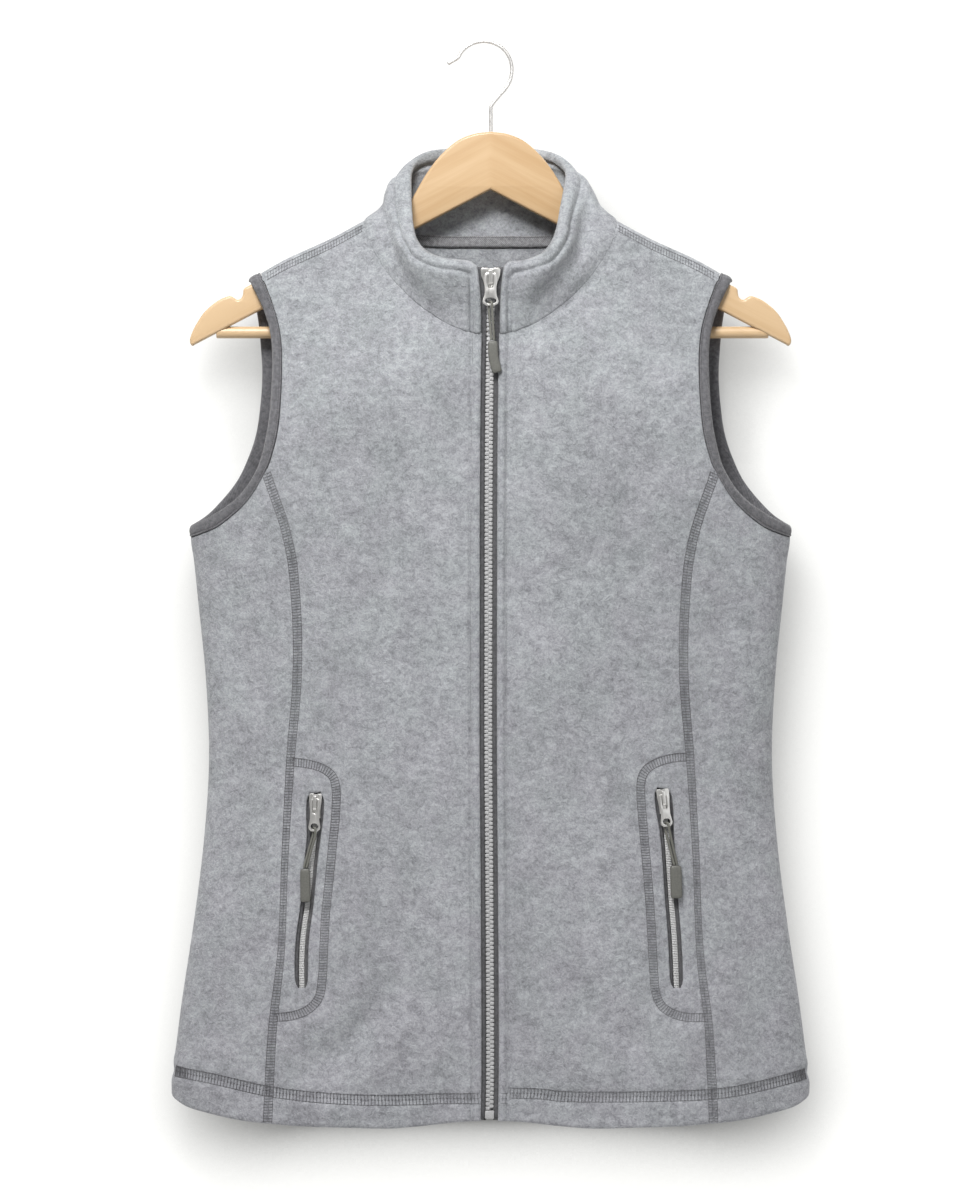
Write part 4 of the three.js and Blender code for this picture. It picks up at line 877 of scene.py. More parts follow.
class Shading:
    """The shader nodes of one finish, built in short steps."""

    def __init__(self, name: str, **surface: Any) -> None:
        """Make the material, with its shader's own settings by socket name."""
        self.material = bpy.data.materials.new(name)
        self.material.use_nodes = True
        self.tree = self.material.node_tree
        self.shader = self.tree.nodes["Principled BSDF"]
        for key, value in surface.items():
            self.shader.inputs[key.replace("_", " ").title()].default_value = value
        self.place = add(self.tree, "ShaderNodeTexCoord")

    def noise(self, scale: float, detail: float = 2, stretch: Point = (1, 1, 1), shift: float = 0,
              turn: float = 0, rough: float = 0.5, coordinate: Any = None) -> Any:
        """Return a noise's value, at so many waves a metre along each stretched axis."""
        spot = add(self.tree, "ShaderNodeMapping", {
            "Vector": coordinate or self.place.outputs["Object"], "Scale": stretch,
            "Location": (shift, 0, shift), "Rotation": (0, turn, 0)})
        return add(self.tree, "ShaderNodeTexNoise", {
            "Vector": spot.outputs[0], "Scale": scale, "Detail": detail, "Roughness": rough}).outputs[0]

    def sum(self, first: Any, second: Any, operation: str = "ADD") -> Any:
        """Return two values added, or put together in another way."""
        return add(self.tree, "ShaderNodeMath", {0: first, 1: second}, operation=operation).outputs[0]

    def ramp(self, value: Any, stops: Sequence[tuple[float, Point]]) -> Any:
        """Return a colour read from stops along a value."""
        made = add(self.tree, "ShaderNodeValToRGB", {0: value})
        line = made.color_ramp.elements
        while len(line) < len(stops):
            line.new(0.5)
        for element, (where, colour) in zip(line, stops):
            element.position, element.color = where, (*colour, 1)
        return made.outputs[0]

    def blend(self, share: Any, first: Any, second: Any, way: str = "MIX") -> Any:
        """Return two colours mixed by a share."""
        pair = [(*c, 1) if isinstance(c, tuple) else c for c in (first, second)]
        return add(self.tree, "ShaderNodeMix", {0: share, 6: pair[0], 7: pair[1]},
                   data_type="RGBA", blend_type=way).outputs[2]

    def span(self, value: Any, low: float, high: float, to_low: float = 0, to_high: float = 1) -> Any:
        """Return a value carried from one range to another and held there."""
        return add(self.tree, "ShaderNodeMapRange", {
            0: value, 1: low, 2: high, 3: to_low, 4: to_high}).outputs[0]

    def finish(self, colour: Any, height: Any = None, depth: float = 0.0,
               roughness: Any = None) -> bpy.types.Material:
        """Join the colour, and a height of so many millimetres as relief, and return the material."""
        self.tree.links.new(colour, self.shader.inputs["Base Color"])
        if roughness is not None:
            self.tree.links.new(roughness, self.shader.inputs["Roughness"])
        if height is not None:
            relief = add(self.tree, "ShaderNodeBump", {"Height": height, "Distance": depth * MM})
            self.tree.links.new(relief.outputs[0], self.shader.inputs["Normal"])
        return self.material


@dataclass(frozen=True)
class Fleece:
    """Heather fleece with a brushed nap, and slow patches that are partly nap tone and partly painted
    shade.
    """

    name: str = "heather_fleece"
    slot: str = "fleece"
    pale: Point = (0.43, 0.442, 0.456)
    dark: Point = (0.172, 0.175, 0.186)
    nap: float = 0.7

    def material(self) -> bpy.types.Material:
        """Build the material."""
        look = Shading(self.name, roughness=0.95, sheen_weight=0.15, sheen_roughness=0.6)
        look.shader.inputs["Specular IOR Level"].default_value = 0.1
        warped = add(look.tree, "ShaderNodeTexNoise", {
            "Vector": look.place.outputs["Object"], "Scale": 260.0, "Detail": 1.0})
        drift = add(look.tree, "ShaderNodeVectorMath", {0: warped.outputs[1], 1: (0.004,) * 3},
                    operation="MULTIPLY")
        spot = add(look.tree, "ShaderNodeVectorMath", {
            0: look.place.outputs["Object"], 1: drift.outputs[0]}).outputs[0]
        cloud = look.noise(60, 2, (1, 1, 1.25), 3, rough=0.55, coordinate=spot)
        blot = look.noise(210, 3, (0.85, 1, 1.15), 7, rough=0.6, coordinate=spot)
        fuzz = look.noise(640, 3, (1, 1, 1), 1, rough=0.75, coordinate=spot)
        coarse = look.sum(look.span(cloud, 0.3, 0.7, 0, 0.2), look.span(blot, 0.3, 0.7, 0, 0.38))
        mottle = look.sum(coarse, look.span(fuzz, 0.34, 0.66, 0, 0.42))
        tone = look.ramp(mottle, [(0.1, self.dark), (0.5, tuple(np.add(self.pale, self.dark) / 2)),
                                  (0.9, self.pale)])
        apart = add(look.tree, "ShaderNodeSeparateXYZ", {0: look.place.outputs["Object"]})
        drift = look.sum(look.span(look.noise(38, 2, shift=5), 0.35, 0.65, 0, 0.6),
                         look.span(apart.outputs[2], -0.8, -0.2, 0.5, 0))
        hue = look.blend(drift, (0.978, 1.004, 1.008), (1.012, 0.992, 1.03))
        # partly the nap's own tone and partly painted shade: slow lighter and darker patches, a few
        # centimetres across, stand in for the shading of soft folds
        nap_tone_and_painted_shade = look.span(look.noise(15, 2, (1, 1, 0.5), 9), 0.34, 0.66)
        hue = look.blend(1.0, hue, look.blend(nap_tone_and_painted_shade, (0.93,) * 3, (1.04,) * 3), "MULTIPLY")
        colour = look.blend(1.0, tone, hue, "MULTIPLY")
        height = look.sum(look.sum(fuzz, 0.8, "MULTIPLY"), look.sum(blot, 1.1, "MULTIPLY"))
        return look.finish(colour, height, self.nap)


@dataclass(frozen=True)
class Knit:
    """Ribbed or twilled trim whose pattern follows the piece's own UV map."""

    name: str
    slot: str
    colour: Point
    pitch: float = 1.6
    lean: float = 0.0
    relief: float = 0.25

    def material(self) -> bpy.types.Material:
        """Build the material."""
        look = Shading(self.name, roughness=0.88, sheen_weight=0.2, sheen_roughness=0.5)
        own = add(look.tree, "ShaderNodeMapping", {
            "Vector": look.place.outputs["UV"], "Rotation": (0, 0, self.lean)}).outputs[0]
        rib = add(look.tree, "ShaderNodeTexWave", {
            "Vector": own, "Scale": 1 / (self.pitch * MM) / 3.3, "Distortion": 0.6, "Detail": 1.0,
            "Detail Scale": 2.0}, bands_direction="Y")
        cloud = look.noise(420, 3, rough=0.65)
        share = look.sum(look.sum(rib.outputs[1], 0.4, "MULTIPLY"), look.span(cloud, 0.3, 0.7, 0, 0.6))
        shades = [tuple(c * k for c in self.colour) for k in (0.55, 1.0, 1.5)]
        colour = look.ramp(share, list(zip((0.15, 0.5, 0.9), shades)))
        return look.finish(colour, share, self.relief)


@dataclass(frozen=True)
class Metal:
    """Plated or wire metal with light marks of handling."""

    name: str
    slot: str
    colour: Point
    rough: float
    scratch: float = 900

    def material(self) -> bpy.types.Material:
        """Build the material."""
        look = Shading(self.name, metallic=1.0)
        cloud = look.noise(self.scratch, 4, (1, 1, 0.2), rough=0.6)
        worn = look.span(cloud, 0.3, 0.7, 0, 1)
        colour = look.blend(worn, tuple(c * 0.9 for c in self.colour), self.colour)
        roughness = look.span(worn, 0, 1, self.rough * 1.3, self.rough * 0.8)
        return look.finish(colour, cloud, 0.02, roughness)


@dataclass(frozen=True)
class Moulding:
    """Moulded plastic or waxed cord, satin and faintly uneven."""

    name: str
    slot: str
    colour: Point
    rough: float = 0.5
    scale: float = 700
    relief: float = 0.05

    def material(self) -> bpy.types.Material:
        """Build the material."""
        look = Shading(self.name)
        cloud = look.noise(self.scale, 3, rough=0.6)
        even = look.span(cloud, 0.3, 0.7)
        shades = [tuple(c * k for c in self.colour) for k in (0.84, 1.1)]
        colour = look.blend(even, *shades)
        roughness = look.span(even, 0, 1, self.rough + 0.08, self.rough - 0.08)
        return look.finish(colour, cloud, self.relief, roughness)


@dataclass(frozen=True)
class Thread:
    """Spun thread, darker in some stretches than in others."""

    name: str
    slot: str
    dark: Point = (0.095, 0.093, 0.1)
    pale: Point = (0.19, 0.19, 0.2)
    relief: float = 0.05

    def material(self) -> bpy.types.Material:
        """Build the material."""
        look = Shading(self.name, roughness=0.85)
        look.shader.inputs["Specular IOR Level"].default_value = 0.2
        stretch = look.span(look.noise(14, 2, shift=2), 0.38, 0.62, 0, 0.7)
        fine = look.noise(1400, 2, rough=0.6)
        share = look.sum(stretch, look.span(fine, 0.3, 0.7, -0.1, 0.4))
        return look.finish(look.blend(share, self.dark, self.pale), fine, self.relief)


@dataclass(frozen=True)
class Wood:
    """Pale varnished wood with its grain along each arm, meeting in the middle, with painted light: a
    lighter left half and paler arm ends.
    """

    name: str = "pale_wood"
    slot: str = "hanger_wood"
    light: Point = (0.575, 0.405, 0.235)
    warm: Point = (0.455, 0.285, 0.135)
    lean: float = 0.47

    def material(self) -> bpy.types.Material:
        """Build the material."""
        look = Shading(self.name, coat_weight=0.25, coat_roughness=0.25)
        apart = add(look.tree, "ShaderNodeSeparateXYZ", {0: look.place.outputs["Object"]})
        out = look.sum(apart.outputs[0], 0.0, "ABSOLUTE")
        arm = add(look.tree, "ShaderNodeCombineXYZ", {0: out, 1: apart.outputs[1], 2: apart.outputs[2]})
        grain = add(look.tree, "ShaderNodeMapping", {
            "Vector": arm.outputs[0], "Rotation": (0, -self.lean, 0)}).outputs[0]
        figure = look.noise(60, 4, (0.12, 1.3, 3.2), 0.4, coordinate=grain, rough=0.55)
        fine = look.noise(520, 3, (0.05, 1, 1), 0.9, coordinate=grain, rough=0.6)
        # painted light: the left half is a little lighter and the right half darker, and the arms grow
        # paler towards their ends, like the key light from the left and a highlight along the arms
        side = look.sum(look.span(apart.outputs[0], -0.003, 0.003, 0.06, -0.05),
                        look.span(out, 0.12, 0.19, 0.0, 0.3))
        lines = look.sum(look.sum(figure, 0.75, "MULTIPLY"), look.sum(fine, 0.3, "MULTIPLY"))
        share = look.sum(lines, side)
        colour = look.ramp(share, [(0.22, self.warm), (0.52, tuple(np.add(self.light, self.warm) / 2)),
                                   (0.82, self.light)])
        return look.finish(colour, fine, 0.04, look.span(fine, 0.3, 0.7, 0.36, 0.5))


FLEECE = Fleece()
LINING = Fleece("pocket_fleece", "pocket_lining", (0.36, 0.37, 0.38), (0.17, 0.173, 0.18), 0.4)
TRIM = Knit("ribbed_binding", "binding", (0.118, 0.117, 0.126), 1.5)
NECK_TAPE = Knit("twill_neck_tape", "binding", (0.19, 0.19, 0.198), 0.8, 0.6, 0.12)
ZIP_TAPE = Knit("woven_zip_tape", "zip_tape", (0.075, 0.075, 0.08), 0.8, 0.0, 0.12)
THREAD = Thread("sewing_thread", "binding")
PALE_THREAD = Thread("matching_thread", "fleece", (0.19, 0.192, 0.2), (0.27, 0.275, 0.285))
TEETH = Moulding("moulded_teeth", "zip_teeth", (0.40, 0.40, 0.405), 0.45)
COIL = Moulding("moulded_coil", "zip_teeth", (0.56, 0.56, 0.56), 0.45)
WEB = Moulding("tooth_web", "zip_teeth", (0.2, 0.2, 0.205), 0.6)
SILVER = Metal("satin_slider", "slider_metal", (0.82, 0.81, 0.79), 0.34)
CORD = Moulding("waxed_pull_cord", "pull_cord", (0.135, 0.135, 0.118), 0.6, 1800, 0.15)
GRIP = Moulding("soft_grip", "pull_grip", (0.122, 0.122, 0.11), 0.5)
WOOD = Wood()
NICKEL = Metal("satin_hook_wire", "hook_metal", (0.88, 0.86, 0.84), 0.38)


@functools.cache
def made(finish: Any) -> bpy.types.Material:
    """Return a finish's material, built once."""
    return finish.material()


def fit(piece: bpy.types.Object, finish: Any, *nodes: str, body: str = VEST) -> bpy.types.Object:
    """Dress a piece and set it on its body.

    Args:
        piece: The finished piece.
        finish: Its finish.
        nodes: The frame's nodes that it stands for.
        body: The body it moves with.

    Returns:
        The piece.
    """
    piece.data.materials.clear()
    piece.data.materials.append(made(finish))
    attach(piece, body)
    if nodes:
        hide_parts(*nodes)
    log.info("%s: %s on %s", piece.name, finish.name, body)
    return piece


# ---- Repeated small parts --------------------------------------------------------------------


@dataclass
class Spots:
    """Where a small shape is repeated: its place, its long axis, the outward way and its scale."""

    places: Array
    along: Array
    out: Array
    reach: Array

    @classmethod
    def between(cls, starts: Array, ends: Array, out: Array, overlap: float = 1.0) -> "Spots":
        """Return spots that span from each start to its end."""
        way = ends - starts
        return cls((starts + ends) / 2, unit(way), out, np.linalg.norm(way, axis=1) * overlap * MM)

    @classmethod
    def joined(cls, several: Sequence["Spots"]) -> "Spots":
        """Return several lots of spots as one."""
        names = ("places", "along", "out", "reach")
        return cls(*(np.concatenate([getattr(spots, n) for spots in several]) for n in names))


def thread_shape(tree: bpy.types.NodeTree, size: dict[str, Any]) -> Any:
    """Build one stitch: a thread that rises from the cloth and dips back into it.

    Args:
        tree: The node tree.
        size: The tree's inputs by name: Thread, the thickness, and Crown, the rise.

    Returns:
        The stitch, one unit long.
    """
    line = add(tree, "GeometryNodeCurvePrimitiveLine", {0: (-0.5, 0, 0), 1: (0.5, 0, 0)})
    bent = add(tree, "GeometryNodeResampleCurve", {0: line.outputs[0], "Count": 5})
    spot = add(tree, "ShaderNodeSeparateXYZ", {0: add(tree, "GeometryNodeInputPosition").outputs[0]})
    turn = add(tree, "ShaderNodeMath", {0: spot.outputs[0], 1: 2.9}, operation="MULTIPLY")
    arch = add(tree, "ShaderNodeMath", {0: turn.outputs[0]}, operation="COSINE")
    rise = add(tree, "ShaderNodeMath", {0: arch.outputs[0], 1: size["Crown"]}, operation="MULTIPLY")
    lift = add(tree, "ShaderNodeCombineXYZ", {2: rise.outputs[0]})
    arched = add(tree, "GeometryNodeSetPosition", {0: bent.outputs[0], "Offset": lift.outputs[0]})
    radius = add(tree, "ShaderNodeMath", {0: size["Thread"], 1: 0.5}, operation="MULTIPLY")
    ring = add(tree, "GeometryNodeCurvePrimitiveCircle", {"Resolution": 5, "Radius": radius.outputs[0]})
    return add(tree, "GeometryNodeCurveToMesh", {
        0: arched.outputs[0], 1: ring.outputs[0], "Fill Caps": True}).outputs[0]


def tooth_shape(tree: bpy.types.NodeTree, size: dict[str, Any]) -> Any:
    """Build one zip tooth: a soft block that reaches over the middle of the chain.

    Args:
        tree: The node tree.
        size: The tree's inputs by name: Length, Height and Depth.

    Returns:
        The tooth.
    """
    sides = add(tree, "ShaderNodeCombineXYZ", {0: size["Length"], 1: size["Height"], 2: size["Depth"]})
    block = add(tree, "GeometryNodeMeshCube", {"Size": sides.outputs[0]})
    return add(tree, "GeometryNodeSubdivisionSurface", {
        0: block.outputs[0], "Level": 2, "Edge Crease": 0.55}).outputs[0]


def repeated(name: str, spots: Spots, finish: Any, shape: Callable[[Any, Any], Any],
             sizes: dict[str, float], uneven: float = 0.06) -> bpy.types.Object:
    """Set a small shape at many spots with a node tree, and keep the result as a plain mesh.

    Args:
        name: The piece's name.
        spots: Where the shape goes.
        finish: The finish it is given.
        shape: Builds the shape inside the tree.
        sizes: The shape's own sizes by name, in millimetres.
        uneven: How much the reach varies from one to the next.

    Returns:
        The piece.
    """
    mesh = bpy.data.meshes.new(name)
    mesh.from_pydata(spots.places * MM, [], [])
    for label, kind in (("along", "FLOAT_VECTOR"), ("out", "FLOAT_VECTOR"), ("reach", "FLOAT")):
        values = getattr(spots, label)
        layer = mesh.attributes.new(label, kind, "POINT")
        layer.data.foreach_set("vector" if kind == "FLOAT_VECTOR" else "value", values.ravel())
    piece = new_object(name, mesh)

    tree = bpy.data.node_groups.new(name, "GeometryNodeTree")
    values: dict[str, Any] = {**{k: v * MM for k, v in sizes.items()}, "Unevenness": uneven, "Seed": 7,
                              "Material": made(finish)}
    kinds = {"Seed": "NodeSocketInt", "Material": "NodeSocketMaterial"}
    tree.interface.new_socket("Spots", in_out="INPUT", socket_type="NodeSocketGeometry")
    keys = {k: tree.interface.new_socket(k, in_out="INPUT", socket_type=kinds.get(k, "NodeSocketFloat"))
            for k in values}
    tree.interface.new_socket("Geometry", in_out="OUTPUT", socket_type="NodeSocketGeometry")
    given = add(tree, "NodeGroupInput").outputs

    def read(label: str, kind: str) -> Any:
        """Return a spot's own value by its name."""
        return add(tree, "GeometryNodeInputNamedAttribute", {"Name": label}, data_type=kind).outputs[0]

    turn = add(tree, "FunctionNodeAxesToRotation", {0: read("along", "FLOAT_VECTOR"),
                                                     1: read("out", "FLOAT_VECTOR")},
               primary_axis="X", secondary_axis="Z")
    chance = add(tree, "FunctionNodeRandomValue", {"Seed": given["Seed"]}, data_type="FLOAT")
    chance.inputs[2].default_value, chance.inputs[3].default_value = -1.0, 1.0
    spread = add(tree, "ShaderNodeMath", {0: chance.outputs[1], 1: given["Unevenness"], 2: 1.0},
                 operation="MULTIPLY_ADD")
    reach = add(tree, "ShaderNodeMath", {0: read("reach", "FLOAT"), 1: spread.outputs[0]},
                operation="MULTIPLY")
    scale = add(tree, "ShaderNodeCombineXYZ", {0: reach.outputs[0], 1: 1.0, 2: 1.0})
    points = add(tree, "GeometryNodeMeshToPoints", {0: given["Spots"]})
    placed = add(tree, "GeometryNodeInstanceOnPoints", {
        "Points": points.outputs[0], "Instance": shape(tree, given), "Rotation": turn.outputs[0],
        "Scale": scale.outputs[0]})
    plain = add(tree, "GeometryNodeRealizeInstances", {0: placed.outputs[0]})
    smooth_faces = add(tree, "GeometryNodeSetShadeSmooth", {0: plain.outputs[0]})
    dressed = add(tree, "GeometryNodeSetMaterial", {
        0: smooth_faces.outputs[0], "Material": given["Material"]})
    add(tree, "NodeGroupOutput", {0: dressed.outputs[0]})

    modifier = piece.modifiers.new(name, "NODES")
    modifier.node_group = tree
    for key, socket in keys.items():
        modifier[socket.identifier] = values[key]
    plain_mesh = final_mesh(piece)
    piece.modifiers.clear()
    piece.data = plain_mesh
    return piece


# ---- Cloth pieces ----------------------------------------------------------------------------


SLIT_FOOT = -698
SLIT_ABOVE_PIVOT = 4.8
SLIT_HALF = 5
SLIT_FADE = 34
SLIT_COLUMN = 66
NEARLY = 1e-9
SLIT = Table("share half", [
    [0, 2.6], [0.03, 4.6], [0.27, 4.8], [0.67, 4.8], [0.79, 5.2], [0.88, 6.3], [0.95, 6.4],
    [0.98, 5.6], [1, 3.8],
])
BAG = Table("z x", [
    [-717, 140], [-713, 129.5], [-706, 124.2], [-690, 121.2], [-650, 118.4], [-600, 115],
    [-555, 113], [-545, 115], [-537.5, 123.5], [-535, 134],
])


def evened(grid: Array, row: int, columns: int, turns: int) -> Array:
    """Even out a part of a grid that would fold over itself.

    Args:
        grid: Rows of places.
        row: The first row of the part, which runs on to the last.
        columns: How many columns it takes, from the first.
        turns: How often each place is set to the mean of its four neighbours'.

    Returns:
        The grid, with its other places and the part's border as they were.
    """
    grid = grid.copy()
    part = grid[row:, :columns]
    for _ in range(turns):
        part[1:-1, 1:-1] = (part[:-2, 1:-1] + part[2:, 1:-1] + part[1:-1, :-2] + part[1:-1, 2:]) / 4
    return grid


@dataclass
class Slit:
    """A pocket's opening in the grid of its centre front.

    It lies between two heights, and between two shares of the grid across and two up.
    """

    pocket: Pocket
    low: float
    high: float
    across: tuple[float, float]
    up: tuple[float, float]

    @classmethod
    def found(cls, form: Form, pocket: Pocket, edges: Sequence[Places]) -> "Slit":
        """Find a pocket's opening on a rough grid of its centre front.

        Args:
            form: The form of the body.
            pocket: The pocket.
            edges: The centre front's four edges.

        Returns:
            The opening.
        """
        us, vs = np.linspace(0, 1, 80), np.linspace(0, 1, 200)
        rough = form.bare(Face.FRONT, patch(*edges, us, vs))
        low, high = SLIT_FOOT, pocket.pivot_z + SLIT_ABOVE_PIVOT
        row = rough[np.argmin(np.abs(rough[:, SLIT_COLUMN, 2] - POCKET_MIDDLE))]
        middle = float(pocket.table.at(POCKET_MIDDLE, "x"))
        near, far = np.interp([middle - SLIT_HALF, middle + SLIT_HALF], row[:, 0], us)
        column = rough[:, int(round((near + far) / 2 * (len(us) - 1))), 2]
        return cls(pocket, low, high, (near, far), tuple(np.interp([low, high], column, vs)))

    def columns(self, width: float, pace: float) -> Array:
        """Space out the centre front's columns, close together round the opening.

        Args:
            width: The centre front's width.
            pace: The distance between columns in the open cloth.

        Returns:
            Shares of the width.
        """
        near, far = self.across
        rim = np.array([0, 0.16, 0.5, 1.1, 2.1]) / width
        us = shares(width, pace, [SHOULDER_SHARE * width, *np.arange(3.5, 20, 3.5)])
        us = us[(us < near - 2.2 * rim[-1]) | (us > far + 2.2 * rim[-1])]
        within = np.linspace(near, far, 6)[1:-1]
        return np.unique(np.concatenate([us, near - rim, near - [4 / width], within, far + rim]))

    def beyond(self, z: Array) -> Array:
        """Return how far heights lie below or above the opening."""
        return np.maximum(np.maximum(self.low - z, z - self.high), 0)

    def draw(self, form: Form, places: Array, us: Array) -> Array:
        """Move the grid's places so that two of its columns run along the opening's edges.

        Args:
            form: The form of the body.
            places: The grid's places, which are changed.
            us: The shares of its columns.

        Returns:
            Each point's distance from the opening.
        """
        flat, (near, far) = form.bare(Face.FRONT, places), self.across
        x, z = flat[..., 0], flat[..., 2]
        a, b = np.searchsorted(us, [near - NEARLY, far - NEARLY])
        half = SLIT.at(np.clip((z - self.low) / (self.high - self.low), 0, 1), "half")
        line = self.pocket.table.at(z, "x")
        strength = smooth(1 - self.beyond(z) / SLIT_FADE)
        to_a = ((line - half - x) * strength)[:, a]
        to_b = ((line + half - x) * strength)[:, b]
        shift = np.stack([np.interp(us, [0, near, far, 1], [0, p, q, 0]) for p, q in zip(to_a, to_b)])
        moved = np.abs(shift) > 1e-6
        places[moved] = form.place((x + shift)[moved], z[moved])
        flat = form.bare(Face.FRONT, places)
        return np.hypot(np.maximum(np.abs(flat[..., 0] - line) - half, 0), self.beyond(flat[..., 2]))

    def faces(self, us: Array, vs: Array) -> Array:
        """Return which faces of a grid with these columns and rows lie in the opening."""
        inside = [(at[:-1] >= start - NEARLY) & (at[1:] <= end + NEARLY)
                  for at, (start, end) in ((vs, self.up), (us, self.across))]
        return inside[0][:, None] & inside[1][None]


@dataclass
class Panels:
    """The body's fleece: two centre fronts, two side fronts, the back and the pocket bags."""

    cut: Pattern
    pace: float = 2.2
    back_pace: float = 3.1
    centre_size: tuple[float, float] = (157.0, 626.0)
    side_size: tuple[float, float] = (72, 482)
    back_size: tuple[float, float] = (236, 650)
    seam_rim: float = 0.9
    hem_rim: float = 2.1
    bag_rest: float = 2.7
    bag_depth: float = 6.4
    bag_ease: float = 8
    bag_cloth: float = 0.9
    evening: tuple[int, int, int] = (164, 60, 80)

    def thickness(self, face: Face, points: Array) -> Array:
        """Return the cloth's thickness: double in the hem, apart from beside the zip."""
        far, z = np.abs(points[..., 0]), points[..., 2]
        above = smooth((z - HEM.at(far, face.value[0]) - HEM_TURN) / HEM_STEP + 1)
        double = smooth((far - 17) / (2 * HEM_STEP)) if face is Face.FRONT else 1
        return lerp(lerp(CLOTH, HEM_CLOTH, double), CLOTH, above)

    def front_centre(self, side: Side) -> bpy.types.Object:
        """Make a centre front, from the zip to the princess seam, with its pocket's opening."""
        cut, form = self.cut, self.cut.form
        name, sign = side.value
        pocket = next(p for p in POCKETS if p.side is side)
        foot = float(ZIP_GAP + sign * zip_lean(ZIP_FOOT))
        z = np.linspace(float(HEM.at(foot, "front")), NECK_Z, 17)
        edges = (
            cut.hem(Face.FRONT, foot, PRINCESS_FOOT),
            chain([cut.front_neck, cut.shoulder(Face.FRONT)], (SHOULDER_SHARE, 1)),
            Run(form.place(ZIP_GAP + sign * zip_lean(z), z)),
            chain([cut.princess, lambda t: cut.front_arm(lerp(cut.to_princess, cut.to_shoulder, t))],
                  (PRINCESS_SHARE, 1)),
        )
        slit, (width, height) = Slit.found(form, pocket, edges), self.centre_size
        us = slit.columns(width, self.pace)
        vs = shares(height, self.pace,
                    [*HEM_ROWS, PRINCESS_SHARE * height, *(share * height for share in slit.up)])
        places = patch(*edges, us, vs)
        opening = Opening(slit.faces(us, vs), slit.draw(form, places, us))
        points, normals = form.cloth(Face.FRONT, places, sign)
        piece = cloth_wall(
            f"fleece_front_centre_{name}", points, normals, self.thickness(Face.FRONT, points),
            (self.hem_rim, self.seam_rim, OPEN_RIM, self.seam_rim), opening, "13")
        fit(piece, FLEECE, f"front_centre_{name}")
        return piece

    def front_side(self, side: Side) -> bpy.types.Object:
        """Make a side front, from the princess seam to the side seam."""
        cut, form = self.cut, self.cut.form
        name, sign = side.value
        outer = cut.side_seam(Face.FRONT)
        x = np.linspace(PRINCESS_FOOT, SIDE_REACH, 8)
        bottom = Run([*form.place(x, HEM.at(x, "front")), outer.points[0]])
        places = patch(bottom, lambda t: cut.front_arm(lerp(cut.to_princess, 1, t)), cut.princess, outer,
                       shares(self.side_size[0], self.pace),
                       shares(self.side_size[1], self.pace, HEM_ROWS))
        points, normals = form.cloth(Face.FRONT, places, sign)
        piece = cloth_wall(f"fleece_front_side_{name}", points, normals, self.thickness(Face.FRONT, points),
                           (self.hem_rim, self.seam_rim, self.seam_rim, self.seam_rim), sewn="123")
        fit(piece, FLEECE, f"front_side_{name}")
        return piece

    def back(self) -> bpy.types.Object:
        """Make the back in one piece, from side seam to side seam and over both shoulders."""
        cut, form = self.cut, self.cut.form
        side = cut.side_seam(Face.BACK)
        x = np.linspace(0, SIDE_REACH, 10)
        bottom = Run([*form.place(x, HEM.at(x, "back")), side.points[0]])
        inner = Run([form.place(0, HEM.at(0, "back")), form.place(0, BACK_NECK[0][1])])

        def over_ridge(t: Array) -> Array:
            """Return the armhole's edge over the ridge, seen from the back's side."""
            p = cut.front_arm(np.clip(t, 0, 1) * cut.to_shoulder)
            x = form.half.at(p[:, 1], "half") * (1 - p[:, 0] ** 2)
            return form.place_at_rise(x, math.pi * RIDGE.at(x, "fold") - p[:, 1])

        outer = chain([side, lambda t: cut.back_arm(1 - t), over_ridge], (*ARM_SHARES, 1))
        top = chain([cut.back_neck, cut.shoulder(Face.BACK)], (SHOULDER_SHARE, 1))
        width, height = self.back_size
        across = shares(width, self.back_pace, [SHOULDER_SHARE * width])
        up = shares(height, self.back_pace, [14, *(share * height for share in ARM_SHARES)])
        places = evened(patch(bottom, top, inner, outer, across, up), *self.evening)
        halves = [form.cloth(Face.BACK, grid, sign) for grid, sign in
                  ((places[:, :0:-1], -1), (places, 1))]
        points, normals = (np.concatenate([half[k] for half in halves], axis=1) for k in (0, 1))
        piece = cloth_wall("fleece_back", points, normals, self.thickness(Face.BACK, points),
                           (self.hem_rim, self.seam_rim, self.seam_rim, self.seam_rim), sewn="123")
        fit(piece, FLEECE, "back")
        return piece

    def pocket_bag(self, side: Side) -> bpy.types.Object:
        """Make the layer behind a centre front that closes its pocket."""
        form = self.cut.form
        name, sign = side.value
        z = np.linspace(BAG.rows[0, 0], BAG.rows[-1, 0], 70)[:, None]
        near, far = BAG.at(z, "x"), PRINCESS.at(z, "x") - 1.5
        x = lerp(near, far, np.linspace(0, 1, 16)[None])
        reach = np.minimum(np.minimum(x - near, far - x), np.minimum(z - z[0], z[-1] - z))
        depth = lerp(self.bag_rest, self.bag_depth, smooth(reach / self.bag_ease))
        points, normals = form.cloth(Face.FRONT, form.place(x, z + 0 * x), sign)
        piece = cloth_wall(f"pocket_lining_{name}", points - normals * depth[..., None], normals,
                           self.bag_cloth, (0.45,) * 4)
        fit(piece, LINING, f"pocket_bag_{name}")
        return piece

    def build(self) -> None:
        """Make every piece."""
        for side in Side:
            self.front_centre(side)
            self.front_side(side)
            self.pocket_bag(side)
        self.back()


INWARD = np.array([0.0, 1.0, 0.0])


def both_halves(first: Array, second: Array) -> Array:
    """Return one half's rows run on into the other's reversed, with the middle column once."""
    return np.concatenate([first[:, :-1], second[:, ::-1]], axis=1)


